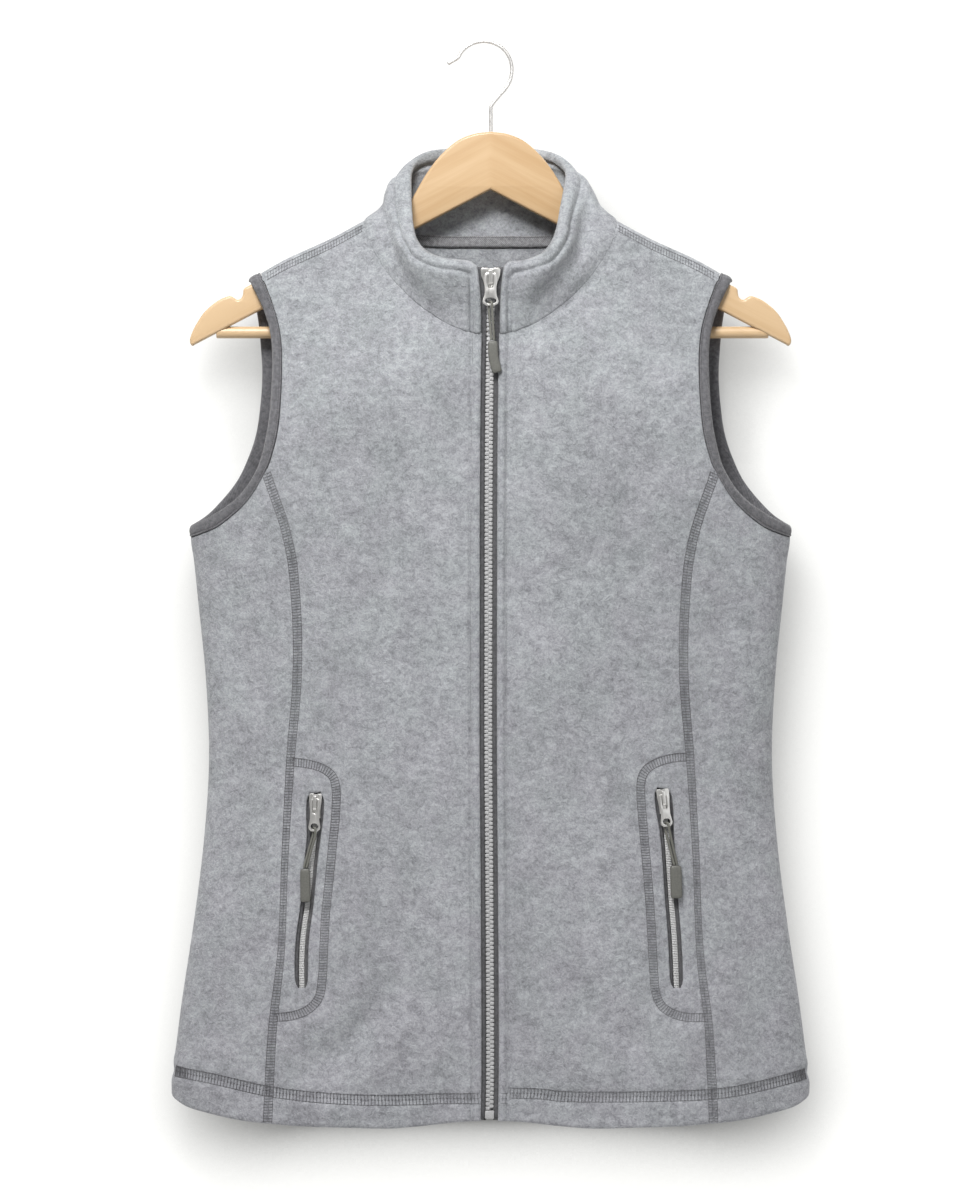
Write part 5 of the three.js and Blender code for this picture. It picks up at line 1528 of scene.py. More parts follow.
@dataclass
class Collar:
    """The stand-up collar in two layers, and the tape inside the back of its seam."""

    cut: Pattern
    cloth: float = 5.2
    swell: tuple[float, float] = (4.3, 5.0)
    length: float = 205
    height: float = 58
    flare: float = 3.6
    shoulder: float = SHOULDER_SHARE
    fold: tuple[float, float] = (8.9, 11.4)
    notch: dict[int, float] = field(default_factory=lambda: {1: 2.5, -1: 4.6})
    tape_from: float = 0.66
    tape_width: float = 9
    tape_below: float = 1.0
    tape_cloth: float = 1.0

    def __post_init__(self) -> None:
        """Draw the rim."""
        self.rims = {sign: soft_line(points, 240) for sign, points in RIM.items()}

    def rim(self, t: Array, side: int = 1) -> Array:
        """Return a side's rim at shares t from the zip to the middle back, as on the right."""
        line = self.rims[side]
        return by_length(line, np.clip(t, 0, 1) * lengths(line)[-1])

    def neck(self, t: Array, side: int = 1) -> Array:
        """Return a side's neck seam at shares t from the zip to the middle back, as on the right."""
        form, share = self.cut.form, self.shoulder
        front, _ = form.cloth(Face.FRONT, self.cut.front_neck(np.clip(t / share, 0, 1)), side)
        back, _ = form.cloth(Face.BACK, self.cut.back_neck(np.clip((1 - t) / (1 - share), 0, 1)), side)
        return np.where((t <= share)[..., None], front, back) * [side, 1, 1]

    def face(self, t: Array, v: Array, side: int = 1) -> Array:
        """Find the collar's outer face.

        Args:
            t: Shares round the half collar.
            v: Shares up it.
            side: 1 for the shape of the right side, -1 for the left's.

        Returns:
            Its points, drawn on the side of positive X.
        """
        t, v = np.broadcast_arrays(np.asarray(t, float), np.asarray(v, float))
        shape, t, v = t.shape, t.ravel(), v.ravel()
        along = self.rim(t + 0.02, side) - self.rim(t - 0.02, side)
        out = unit(np.stack([along[:, 1], -along[:, 0], 0 * t], axis=-1))
        top = self.rim(t, side) + out * self.cloth / 2
        point = lerp(self.neck(t, side), top, v[:, None])
        near_zip = np.exp((ZIP_GAP - point[:, 0]) / 10) * smooth((0.4 - t) / 0.2)
        point[:, 0] += self.flare * (v**3 - v) * near_zip
        full = self.swell[0] + self.swell[1] * smooth((0.42 - t) / 0.2)
        rise = np.sin(math.pi * np.clip(v, 0, 1) ** 1.8)
        point += out * (full * smooth((t - 0.02) / 0.1) * rise)[:, None]
        waist = 2.2 * bell(v - 0.76, 0.16) - self.notch[side] * bell(v - 0.3, 0.17)
        waist = waist + bell(v - 0.07, 0.06)
        point += out * (bell(t - 0.55, 0.16) * waist)[:, None]
        return point.reshape(*shape, 3)

    def normal(self, t: Array, v: Array, side: int = 1) -> Array:
        """Return the outward directions of the outer face."""
        around = (self.face(np.minimum(t + 0.006, 1), v, side)
                  - self.face(np.maximum(t - 0.006, 0), v, side))
        up = self.face(t, v + 0.01, side) - self.face(t, v - 0.01, side)
        return unit(np.cross(around, up))

    def thickness(self, t: Array, v: Array) -> Array:
        """Return the two layers' thickness, less at the bottom of the back."""
        return self.cloth - 2.4 * smooth(1 - v / 0.3) * smooth((t - 0.5) / 0.12)

    def sculpt(self, points: Array, out: Array, t: Array, v: Array, side: int) -> tuple[Array, Array]:
        """Find the rolled rim, its topstitch, and the folds pressed in by wear.

        Args:
            points: The outer face's points, on their own side.
            out: The outward directions there.
            t: Shares round the half collar.
            v: Shares up it.
            side: 1 for the side of positive X, -1 for the other.

        Returns:
            The outer face's points with all of these, and the collar's thickness at each.
        """
        height = np.linalg.norm(self.face(t, 1.0, side) - self.face(t, 0.0, side), axis=-1)
        down, in_edge = (1 - v) * height, t * self.length
        line = -2 * np.log(np.exp(-down / 2) + np.exp(-(in_edge + 1.8) / 2))
        fold = self.fold[0] + (self.fold[1] - self.fold[0]) * (side < 0) * smooth((t - 0.2) / 0.25)
        band = 1.2 * bell(line - fold / 2, 3.4) - 1.9 * bell(line - fold, 1.4)
        band = band + 0.7 * bell(line - fold - 4, 3)
        x, y, z = (points[..., k] for k in range(3))
        front = smooth((20 - y) / 10) * smooth(v * height / 6)
        pressed = sum(Crease(Face.FRONT, path, width, rise).lift(x, z)
                      for path, width, rise in self.folds(side)) * front
        edge = smooth(down / 3)
        thick = self.thickness(t, v) + (2 * band + 0.45 * np.minimum(pressed, 0)) * edge
        moved = points + out * (band * edge)[..., None] - INWARD * (pressed * edge)[..., None]
        return moved, np.maximum(thick, 1.8)

    @staticmethod
    def folds(side: int) -> Sequence[tuple[Path, float, float]]:
        """Return one side's folds: path, half width and height."""
        if side > 0:
            return (
                (((67, -108), (70, -122), (68, -140), (60, -160), (47, -178), (32, -195)), 7.5, -6.5),
                (((78, -116), (76, -142), (68, -166), (54, -184)), 8.0, 3.0),
                (((60, -100), (57, -128), (52, -146), (42, -160)), 5.0, 1.0),
                (((30, -166), (26, -182), (17, -198)), 7.0, -1.2),
            )
        return (
            (((-68, -108), (-66, -134), (-62, -154), (-54, -170)), 6.5, -1.8),
            (((-78, -120), (-77, -146), (-70, -168)), 9.0, 1.4),
            (((-46, -166), (-34, -182), (-24, -197)), 7.0, -1.6),
            (((-20, -168), (-18, -182), (-15, -200)), 7.0, 1.0),
        )

    def build(self) -> None:
        """Make the collar and the neck tape."""
        ts = shares(self.length, 2.0, [5, 8.5])
        vs = shares(self.height, 1.7, [49.4, 46])
        rim = np.array([0.35, 0.9, 1.7, 2.6, 3.6]) / self.height
        vs = np.unique(np.concatenate([vs[(vs > 0.01) & (vs < 1 - rim[-1])], 1 - rim, [-0.02, 1.0]]))
        t, v = np.meshgrid(ts, vs)
        halves = []
        for side in (1, -1):
            turned = np.array([side, 1, 1])
            points, out = self.face(t, v, side) * turned, self.normal(t, v, side) * turned
            points, thick = self.sculpt(points, out, t, v, side)
            halves.append((points, out, thick))
        points, normals, thick = (both_halves(right, left) for right, left in zip(*halves))
        piece = cloth_wall("fleece_collar", points, normals, thick, (1.5, 2.6, 2.4, 2.4), sewn="0")
        fit(piece, FLEECE, "collar")

        ts = np.linspace(self.tape_from, 1, 45)
        height = np.linalg.norm(self.rim(ts) - self.neck(ts), axis=1)
        t, u = np.meshgrid(ts, np.linspace(0, 1, 9))
        v = (u * self.tape_width - self.tape_below) / height
        face, out = self.face(t, v), self.normal(t, v)
        turned = np.array([-1, 1, 1])
        points, normals = (both_halves(half, half * turned) for half in (face, out))
        deep = both_halves(self.thickness(t, v), self.thickness(t, v))
        deep = deep + 1.5 * GAP - 1.3 * smooth(1 - u * self.tape_width / 2.2)[:, :1]
        points = points - normals * deep[..., None]
        tape = cloth_wall("neck_seam_tape", points, normals, self.tape_cloth, (0.4,) * 4)
        fit(tape, NECK_TAPE, "neck_tape")


@dataclass
class Bindings:
    """The ribbed bindings that wrap the armholes' edges."""

    cut: Pattern
    pace: float = 2.0
    stitch_share: float = 0.2
    cloth: float = 1.0
    section: Path = (
        (0.0, 0.3), (0.05, 0.8), (0.11, 0.95), (0.165, 0.8), (0.2, 0.5), (0.235, 0.8), (0.31, 1.1),
        (0.5, 1.4), (0.72, 1.3), (0.9, 0.8), (1.02, -0.05), (1.07, -1.0), (1.03, -1.9), (0.92, -2.45),
        (0.7, -2.68), (0.5, -2.7), (0.3, -2.7), (0.1, -2.7), (0.0, -2.6),
    )

    def edges(self, sign: int) -> tuple[Array, Array, Array]:
        """Find a binding's two edges all the way round.

        Args:
            sign: 1 for the side of positive X, -1 for the other.

        Returns:
            The seam edge's points, the open edge's points, and the outward directions.
        """
        form, found = self.cut.form, []
        for face in reversed(Face):
            seam, rim = Run(self.cut.armhole(face, "seam")), Run(self.cut.armhole(face, "open"))
            t = np.linspace(0, 1, 118)
            t = t[:-1] if face is Face.FRONT else t[:0:-1]
            inner, out = form.cloth(face, seam(t), sign)
            outer, _ = form.cloth(face, rim(t), sign)
            found.append((inner, outer, out))
        return tuple(np.concatenate([a, b]) for a, b in zip(*found))

    def build(self) -> list[Spots]:
        """Make both bindings.

        Returns:
            The stitches along each.
        """
        stitches = []
        for side in Side:
            name, sign = side.value
            inner, outer, out = (np.vstack([a, a[:1]]) for a in self.edges(sign))
            reach, shape = (outer - inner)[:, None], Run(self.section)(np.linspace(0, 1, 46))
            line = inner + unit(outer - inner) * 0.2
            points = line[:, None] + reach * shape[None, :, :1] + out[:, None] * shape[None, :, 1:]
            normals = unit(np.cross(np.gradient(points, axis=0), np.gradient(points, axis=1)))
            normals *= np.sign(np.sum(normals[:, 12] * out))
            piece = cloth_wall(f"armhole_binding_band_{name}", points, normals, self.cloth,
                               (0.3, 0.3, 0.5, 0.5))
            fit(piece, TRIM, f"armhole_binding_{name}")
            line = line + reach[:, 0] * self.stitch_share + out * 0.62
            steps = paced(line, 2.6)
            far = np.linspace(0, len(line) - 1, len(steps))
            ways = out[np.round(far).astype(int)]
            stitches.append(Spots.between(steps[:-1], steps[1:], ways[:-1], 0.8))
        return stitches


# ---- Zips and their pulls --------------------------------------------------------------------


@dataclass(frozen=True)
class ZipSize:
    """A zip's half widths from its middle, its thicknesses, and how deep it lies in the cloth."""

    chain: float
    chain_half: float
    tape: float
    tape_inner: float
    tape_edge: float
    panel: float = 2.4

    @property
    def tape_front(self) -> float:
        """Return the depth of the tape's face behind the cloth's."""
        return self.panel + GAP

    @property
    def chain_front(self) -> float:
        """Return the depth of the chain's face."""
        return self.tape_front + self.tape / 2 - self.chain / 2


MAIN_ZIP = ZipSize(2.6, 2.95, 0.9, 3.7, 17)
POCKET_ZIP = ZipSize(2, 1.85, 0.8, 2.3, 10.5)
PIVOT_Z = -172.5
CHAIN_BELOW_PIVOT = 5
MAIN_GRIP = ((1.6, -49.3), (2.2, -61), (5.1, -72.5))
MAIN_PULL_LEAN = 5.5
PLATE = 1.3
BRIDGE_ROOM = 1
TAB_HALF = 0.7


@dataclass
class Track:
    """Points up a zip's line, with the way out of the cloth and the way across it at each."""

    points: Array
    out: Array
    across: Array

    def spot(self, across: Array, depth: Array) -> Array:
        """Return points so far across and behind the cloth's face."""
        across, depth = (np.asarray(v, float)[..., None] for v in (across, depth))
        return self.points + self.across * across - self.out * depth

    def strip(self, across: Array, depth: float) -> tuple[Array, Array]:
        """Lay rows of points over the track.

        Args:
            across: How far across each point of each row lies.
            depth: How deep the rows lie behind the cloth's face.

        Returns:
            The points, and the outward direction at each.
        """
        out = self.out[:, None]
        points = self.points[:, None] + self.across[:, None] * across[..., None]
        points = points - out * depth
        return points, np.broadcast_to(out, points.shape)

    @classmethod
    def main(cls, collar: Collar, z: Array) -> "Track":
        """Return the closed front's track at heights z, from the hem up to the collar's rim."""
        def on_front(z: Array) -> Array:
            """Return the points of the line itself."""
            form = collar.cut.form
            body = form.bare(Face.FRONT, form.place(0 * z, np.minimum(z, NECK_Z)))
            share = np.clip((z - NECK_Z) / (RIM[1][0][2] - NECK_Z), 0, 1.05)
            y = np.where(z < NECK_Z, body[:, 1], collar.face(0 * z, share)[:, 1])
            return np.stack([zip_lean(z), y, z], axis=-1)
        across = np.broadcast_to([1.0, 0, 0], (len(z), 3))
        return cls(on_front(z), -unit(np.cross(on_front(z + 1) - on_front(z - 1), across)), across)

    @classmethod
    def pocket(cls, form: Form, pocket: Pocket, z: Array) -> "Track":
        """Return a pocket zip's track at heights z."""
        turned = np.array([pocket.side.value[1], 1, 1])
        def on_panel(z: Array) -> Array:
            """Return the points of the line itself."""
            return form.bare(Face.FRONT, form.place(pocket.table.at(z, "x"), z)) * turned
        out = form.normal(Face.FRONT, form.place(pocket.table.at(z, "x"), z)) * turned
        return cls(on_panel(z), out, unit(np.cross(unit(on_panel(z + 2) - on_panel(z - 2)), out)))


def zip_tape(name: str, track: Track, near: Array, far: Array, size: ZipSize,
             node: str) -> bpy.types.Object:
    """Make a zip's tape.

    Args:
        name: The piece's name.
        track: The zip's line.
        near: How far across the tape's edge by the chain lies, at each point of the track.
        far: How far across its sewn edge lies.
        size: The zip's sizes.
        node: The frame's node that it stands for.

    Returns:
        The dressed piece.
    """
    share = np.linspace(0, 1, 8)[None]
    spots, out = track.strip(near[:, None] * (1 - share) + far[:, None] * share, size.tape_front)
    return fit(cloth_wall(name, spots, out, size.tape, (0.35,) * 4), ZIP_TAPE, node)


@dataclass
class MainZip:
    """The front zip: two tapes, moulded teeth and the retaining box."""

    collar: Collar
    size: ZipSize = MAIN_ZIP
    pitch: float = 3.15
    tooth: tuple[float, float, float] = (3.2, 2.5, 2.0)
    web: float = 2.45
    web_behind: float = 0.55
    box_top: float = -788

    @property
    def chain_top(self) -> float:
        """Return the Z where the slider takes over from the closed chain."""
        return PIVOT_Z - CHAIN_BELOW_PIVOT

    def tapes(self) -> None:
        """Make the two tapes, which run on beside the collar's edges above the slider."""
        rim_z, flare = RIM[1][0][2], self.collar.flare
        z = np.concatenate([np.linspace(ZIP_FOOT, NECK_Z - 1.7, 200),
                            np.linspace(NECK_Z - 0.4, rim_z - 0.8, 26)])
        track = Track.main(self.collar, z)
        share = np.clip((z - NECK_Z) / (rim_z - NECK_Z), 0, 1)
        edge = np.where(z < NECK_Z - 1, self.size.tape_edge, ZIP_GAP + flare * share**3 + 2.6)
        near = np.full(len(z), self.web + 0.15)
        for name, sign in (("right", 1), ("left", -1)):
            tape = zip_tape(f"front_tape_{name}", track, sign * near, sign * edge, self.size,
                            f"zip_tape_{name}")

    def web_strip(self) -> None:
        """Make the strip that shows between the teeth."""
        track = Track.main(self.collar, np.linspace(self.box_top, self.chain_top, 200))
        spots, out = track.strip(np.linspace(-self.web, self.web, 7)[None],
                                 self.size.chain_front + self.web_behind)
        fit(cloth_wall("front_zip_web", spots, out, 1.0, (0.3, 0.3, 0.5, 0.5)), WEB)

    def teeth(self) -> None:
        """Make the teeth of both sides, each side half a step from the other."""
        lots = []
        for sign in (1, -1):
            first = self.box_top + self.tooth[0] / 2 + (sign > 0) * self.pitch / 2
            z = np.arange(first, self.chain_top, self.pitch)
            track = Track.main(self.collar, z)
            middle = self.size.chain_half - self.tooth[0] / 2
            spots = track.spot(sign * middle, self.size.chain_front + self.size.chain / 2)
            lots.append(Spots(spots, track.across * sign, track.out, np.ones(len(z))))
        piece = repeated("front_zip_teeth", Spots.joined(lots), TEETH, tooth_shape,
                         dict(zip(("Length", "Height", "Depth"), self.tooth)), 0.0)
        fit(piece, TEETH, "zip_chain")

    def build(self) -> None:
        """Make the zip."""
        self.tapes()
        self.web_strip()
        self.teeth()
        fit(softened("zip_box", "front_zip_box", 0.7), TEETH, "zip_box")


@dataclass
class PocketZip:
    """A pocket's zip: two tapes and a fine coil."""

    form: Form
    pocket: Pocket
    size: ZipSize = POCKET_ZIP
    pitch: float = 1.25
    coil: float = 1.15
    crown: float = 0.45

    def build(self) -> None:
        """Make the zip."""
        pocket, size = self.pocket, self.size
        name, sign = pocket.side.value
        track = Track.pocket(self.form, pocket, np.linspace(SLIT_FOOT - 4, pocket.line[0][1], 90))
        near, far = np.full(90, size.tape_inner), np.full(90, size.tape_edge)
        for label, way in (("outer", sign), ("inner", -sign)):
            zip_tape(f"pocket_zip_tape_{label}_{name}", track, way * near, way * far, size,
                     f"pocket_tape_{label}_{name}")
        z = np.arange(SLIT_FOOT - 4, pocket.pivot_z - CHAIN_BELOW_PIVOT, self.pitch)
        track = Track.pocket(self.form, pocket, z)
        depth = size.chain_front + size.chain / 2
        half = size.chain_half + 0.05
        turns = Spots.between(track.spot(-half, depth), track.spot(half, depth), track.out)
        piece = repeated(f"pocket_zip_coil_{name}", turns, COIL, thread_shape,
                         {"Thread": self.coil, "Crown": self.crown}, 0.01)
        fit(piece, COIL, f"pocket_chain_{name}")


@dataclass
class Pull:
    """A slider with its hinged pull: metal tab, doubled cord and moulded grip."""

    track: Track
    size: ZipSize
    prefix: str
    suffix: str
    body: str
    grip: Path
    sign: int
    lean: float = 0.0
    grip_half: float = 3.65
    grip_thick: float = 4.2
    grip_back: float = 0.9
    cord_radius: float = 0.9
    grip_sizes: Table = Table("t wide thick", [
        [0, 0.5, 0.5], [0.02, 0.72, 0.66], [0.08, 0.93, 0.9], [0.3, 1, 1], [0.6, 1, 1], [0.88, 1, 1],
        [0.97, 0.88, 0.8], [1, 0.6, 0.5],
    ])

    def named(self, part: str) -> str:
        """Return the name of one part of this pull, as the frame's nodes have it."""
        return f"{self.prefix}_{part}{self.suffix}"

    @property
    def pivot_depth(self) -> float:
        """Return how deep the pull's crossbar lies behind the cloth's face."""
        return self.size.chain_front - GAP - PLATE - BRIDGE_ROOM - TAB_HALF

    def world(self, spots: Array) -> Array:
        """Carry points (across, depth, up) about the slider to their places, leaning with the pull."""
        x, depth, up = (np.asarray(spots, float)[..., k] for k in range(3))
        turn = math.radians(-self.lean)
        far = depth - self.pivot_depth
        depth = self.pivot_depth + far * math.cos(turn) - up * math.sin(turn)
        up = far * math.sin(turn) + up * math.cos(turn)
        across, inward = self.track.across[0], -self.track.out[0]
        place = self.track.points[0] + x[..., None] * across + depth[..., None] * inward
        return place + up[..., None] * np.cross(across, inward)

    def cord(self) -> bpy.types.Object:
        """Make the cord: up in front of the eye's lower edge, through it and down behind."""
        depth, side = self.pivot_depth, self.sign
        x, z = self.grip[0]
        end, back = z + 2 * GAP, -self.grip_back - self.grip_thick / 2
        middle = (-25.5 + end) / 2
        points = soft_line([
            (side * x + 1, back, end), (side * x * 0.5 + 1.05, lerp(back, depth - 1.9, 0.6), middle),
            (1.2, depth - 1.9, -25.5), (1.05, depth - 2, -22.9), (0.7, depth - 1.5, -21), (0, depth, -20.5),
            (-0.7, depth + 1.5, -21), (-1.05, depth + 2, -22.9), (-1.2, depth + 1.8, -25.5),
            (side * x * 0.5 - 1.05, lerp(back, depth + 1.9, 0.5), middle), (side * x - 1, back, end),
        ], 40)
        places = self.world(points) * MM
        piece = drawn_line(self.named("cord_loop"), places, dimensions="3D",
                           bevel_depth=self.cord_radius * MM, bevel_resolution=3, use_fill_caps=True)
        fit(piece, CORD, self.named("pull_cord"), body=self.body)
        return piece

    def moulded_grip(self) -> bpy.types.Object:
        """Make the grip: a soft bar along its middle line."""
        t = np.concatenate([[0, 0.01, 0.025, 0.05], np.linspace(0.09, 0.9, 16), [0.94, 0.97, 0.985, 1]])
        line = Run([(self.sign * x, z) for x, z in self.grip])
        way = unit(line(t + 0.02) - line(t - 0.02))
        angle = np.linspace(0, 2 * math.pi, 24, endpoint=False)
        wave = [np.sign(f(angle)) * np.abs(f(angle)) ** 0.55 for f in (np.cos, np.sin)]
        wide = self.grip_half * self.grip_sizes.at(t, "wide")[:, None] * wave[0]
        thick = self.grip_thick / 2 * self.grip_sizes.at(t, "thick")[:, None] * wave[1]
        spots = rings_round(line(t), way, wide, thick - self.grip_back - self.grip_thick / 2)
        piece = loft(self.named("grip"), self.world(spots))
        return fit(piece, GRIP, self.named("pull_grip"), body=self.body)

    def build(self) -> None:
        """Make the slider and its pull."""
        self.moulded_grip()
        self.cord()
        slider, puller = self.named("slider"), self.named("puller")
        fit(softened(slider, self.named("slider_cast"), 0.28), SILVER, slider)
        fit(softened(puller, self.named("tab_cast"), 0.3), SILVER, puller, body=self.body)


# ---- Hanger ----------------------------------------------------------------------------------


@dataclass
class Hanger:
    """The flat wooden hanger with its bar and wire hook."""

    wood: float = 11
    edge: float = 2.0
    apex: float = -108
    bar_radius: float = 4.4
    bar_z: float = -213.8
    bar_ends: tuple[float, float] = (-203.4, 206.2)
    wire: float = 3.2
    stem_x: float = 0.3
    outline: tuple[Path, ...] = (
        ((0, -65), (12, -66.6), (24.5, -71.7), (38.6, -84.3), (48.2, -97.3), (55.7, -110.3),
         (60.5, -118.5), (67, -125.5), (80, -133), (94, -139.8)),
        ((94, -139.8), (140, -161), (177.1, -178.2), (181.5, -180.4)),
        ((181.5, -180.4), (183.1, -182), (183.5, -184.8), (184.2, -187.6), (186, -189.3), (188, -189.6),
         (190.2, -188.1), (192.8, -186.9), (197, -187.9), (202.2, -190.4), (211.8, -198.3),
         (218.5, -208.2), (221.6, -214.6), (222.9, -219), (222.7, -222), (221.2, -223.8), (219, -222.6)),
    )

    def body(self) -> bpy.types.Object:
        """Make the wooden body: a smooth outline with rounded edges."""
        runs = [soft_line(run, 60) for run in self.outline]
        half = np.vstack([*(run[:-1] for run in runs[:-1]), runs[-1]])
        half = by_length(half, np.linspace(0, lengths(half)[-1], 420))
        under = np.linspace(half[-1], (0, self.apex), 60)[1:]
        right = np.vstack([half, under])
        ring = np.vstack([right, (right[1:-1] * [-1, 1])[::-1]])
        drawn = drawn_line(
            "hanger_outline", np.column_stack([ring, np.zeros(len(ring))]) * MM, closed=True,
            dimensions="2D", fill_mode="BOTH", extrude=(self.wood / 2 - self.edge) * MM,
            bevel_depth=self.edge * MM, offset=-self.edge * MM, bevel_resolution=4)
        mesh = final_mesh(drawn)
        bpy.data.objects.remove(drawn)
        build = bmesh.new()
        build.from_mesh(mesh)
        for vertex in build.verts:
            x, z, y = vertex.co
            vertex.co = (x, -y, z)
        bmesh.ops.remove_doubles(build, verts=build.verts, dist=1e-6)
        bmesh.ops.recalc_face_normals(build, faces=build.faces)
        build.to_mesh(mesh)
        build.free()
        mesh.shade_smooth()
        mesh.set_sharp_from_angle(angle=math.radians(38))
        return fit(new_object("hanger_wood_body", mesh), WOOD, "hanger_body")

    def bar(self) -> bpy.types.Object:
        """Make the bar across the arms."""
        left, right = self.bar_ends
        x = np.concatenate([[left, left + 0.2, left + 0.8], np.linspace(left + 2, right - 2, 60),
                            [right - 0.8, right - 0.2, right]])
        size = np.ones(len(x)) * self.bar_radius
        size[[0, 1, 2, -3, -2, -1]] *= [0.8, 0.92, 0.99, 0.99, 0.92, 0.8]
        angle = np.linspace(0, 2 * math.pi, 40, endpoint=False)
        rings = np.stack(np.broadcast_arrays(
            x[:, None], size[:, None] * np.cos(angle), self.bar_z + size[:, None] * np.sin(angle)), axis=-1)
        return fit(loft("hanger_wood_bar", rings), WOOD, "hanger_bar")

    def hook(self) -> bpy.types.Object:
        """Make the wire hook, with a rounded tip."""
        angle = np.radians(np.linspace(-5, 155, 15))
        round_part = np.stack([-5 + 20.9 * np.cos(angle), -18.6 + 20.9 * np.sin(angle)], axis=-1)
        stem = [(self.stem_x, z) for z in (-78.7, -66, -54)]
        line = soft_line([
            *stem, (0.6, -46), (2.4, -43), (6.8, -37.8), (11.5, -32.5), (14.5, -27), *round_part,
            (-26.8, -11.5), (-32, -14.6),
        ], 400)
        line = paced(line, 0.9)
        way = unit(np.gradient(line, axis=0))
        left = lengths(line)[-1] - lengths(line)
        size = self.wire / 2 * np.sqrt(1 - (1 - np.clip((left + 0.25) / 1.6, 0, 1)) ** 2)
        angle = np.linspace(0, 2 * math.pi, 20, endpoint=False)
        rings = rings_round(line, way, size[:, None] * np.cos(angle), size[:, None] * np.sin(angle))
        return fit(loft("hanger_wire_hook", rings), NICKEL, "hanger_hook")

    def build(self) -> None:
        """Make the hanger."""
        self.body()
        self.bar()
        self.hook()


# ---- Stitching -------------------------------------------------------------------------------


@dataclass
class Stitching:
    """The ladders of thread over the seams and the plain topstitching."""

    form: Form
    proud: float = 0.08
    hem_pitch: float = 2.5
    hem_half: float = 3.7
    hem_middle: float = 0.6

    def rails(self, face: Face, sign: int, rows: Sequence[Array], middle: float = 0.6) -> Spots:
        """Lay a ladder on lines of places.

        Args:
            face: The face it lies on.
            sign: 1 for the side of positive X, -1 for the other.
            rows: The places of its three rails, step for step.
            middle: The share of each step that the middle rail's stitches cover.

        Returns:
            Its stitches: three rails, and a rung at each step.
        """
        found = [self.form.cloth(face, places, sign) for places in rows]
        spots = [points + out * self.proud for points, out in found]
        lots = [Spots.between(p[:-1], p[1:], out[:-1], reach)
                for p, (_, out), reach in zip(spots, found, (0.92, middle, 0.92)) if reach]
        low, high = ((p[:-1] + p[1:]) / 2 for p in (spots[0], spots[-1]))
        skew = (spots[1][1:] - spots[1][:-1]) * 0.12
        lots.append(Spots.between(low - skew, high + skew, found[1][1][:-1], 1.06))
        return Spots.joined(lots)

    def ladder(self, face: Face, line: Array, sign: int, pitch: float, half: Array | float,
               middle: float = 0.0) -> Spots:
        """Lay a ladder.

        Args:
            face: The face it lies on.
            line: Its middle line, as (x, z) points of positive x.
            sign: 1 for the side of positive X, -1 for the other.
            pitch: The step from rung to rung.
            half: Its half width, everywhere or at each point of the line.
            middle: The share of each step that the middle rail's stitches cover.

        Returns:
            Its stitches.
        """
        solid_line = self.form.bare(face, self.form.place(line[:, 0], line[:, 1]))
        far = lengths(solid_line)
        steps = np.linspace(0, far[-1], int(far[-1] / pitch) + 1)
        half = np.interp(steps, far, np.broadcast_to(half, len(far)))[:, None]
        line = np.stack([np.interp(steps, far, line[:, k]) for k in (0, 1)], axis=-1)
        way = unit(np.gradient(line, axis=0))
        aside = np.stack([-way[:, 1], way[:, 0]], axis=-1)
        rows = [line + aside * half * offset for offset in (-1, 0, 1)]
        return self.rails(face, sign, [self.form.place(r[:, 0], r[:, 1]) for r in rows], middle)

    def shoulder(self, sign: int) -> Spots:
        """Lay a ladder along a shoulder seam."""
        x = np.linspace(NECK_SIDE + 1.5, 166, 36)
        rise = seam_rise(x, Face.FRONT)
        rows = [self.form.place_at_rise(x, rise + offset) for offset in (-3.1, 0, 3.1)]
        return self.rails(Face.FRONT, sign, rows, 0.0)

    def single(self, points: Array, out: Array, pitch: float = 3.0) -> Spots:
        """Return plain stitches along a line of points."""
        far = lengths(points)
        steps = np.linspace(0, far[-1], max(int(far[-1] / pitch), 1) + 1)
        line = by_length(points, steps)
        ways = np.stack([np.interp(steps, far, out[:, k]) for k in range(3)], axis=-1)
        return Spots.between(line[:-1], line[1:], unit(ways[:-1]), 0.78)

    @staticmethod
    def thread_piece(name: str, lots: Sequence[Spots], finish: Any = THREAD, thread: float = 0.42,
                     crown: float = 0.2) -> bpy.types.Object:
        """Make one piece of thread from several lots of stitches.

        Args:
            name: The piece's name.
            lots: The lots of stitches.
            finish: The thread's finish.
            thread: Its thickness.
            crown: How far each stitch rises.

        Returns:
            The dressed piece.
        """
        sizes = {"Thread": thread, "Crown": crown}
        return fit(repeated(name, Spots.joined(lots), finish, thread_shape, sizes), finish)

    def seams(self) -> None:
        """Sew the princess and shoulder seams, narrower beside the pockets."""
        signs = (1, -1)
        z = np.linspace(-797.5, PRINCESS_TOP - 2, 300)
        princess = np.stack([PRINCESS.at(z, "x"), z], axis=-1)
        half = 3.2 - 0.95 * bell(z - POCKET_MIDDLE, 90)
        seams = [self.ladder(Face.FRONT, princess, s, 2.1, half) for s in signs]
        self.thread_piece("princess_seam_thread", seams + [self.shoulder(s) for s in signs])

    def hems(self) -> None:
        """Sew the hem, with a close ladder at each side seam."""
        by_zip = np.array([(7.5, -778.9), (12.6, -778.9)])
        lots = [self.ladder(Face.FRONT, by_zip, 1, self.hem_pitch, 3.6, self.hem_middle)]
        for face in Face:
            for s, start, side in ((1, 13.2, "right"), (-1, 8.0, "left")):
                x = np.linspace(start if face is Face.FRONT else 0.0, 233.8, 200)
                line = np.stack([x, HEM_BAND.at(x, side)], axis=-1)
                lots += [self.ladder(face, line, s, self.hem_pitch, self.hem_half, self.hem_middle),
                         self.ladder(face, line[-10:], s, 1.5, self.hem_half)]
        self.thread_piece("hem_thread", lots)

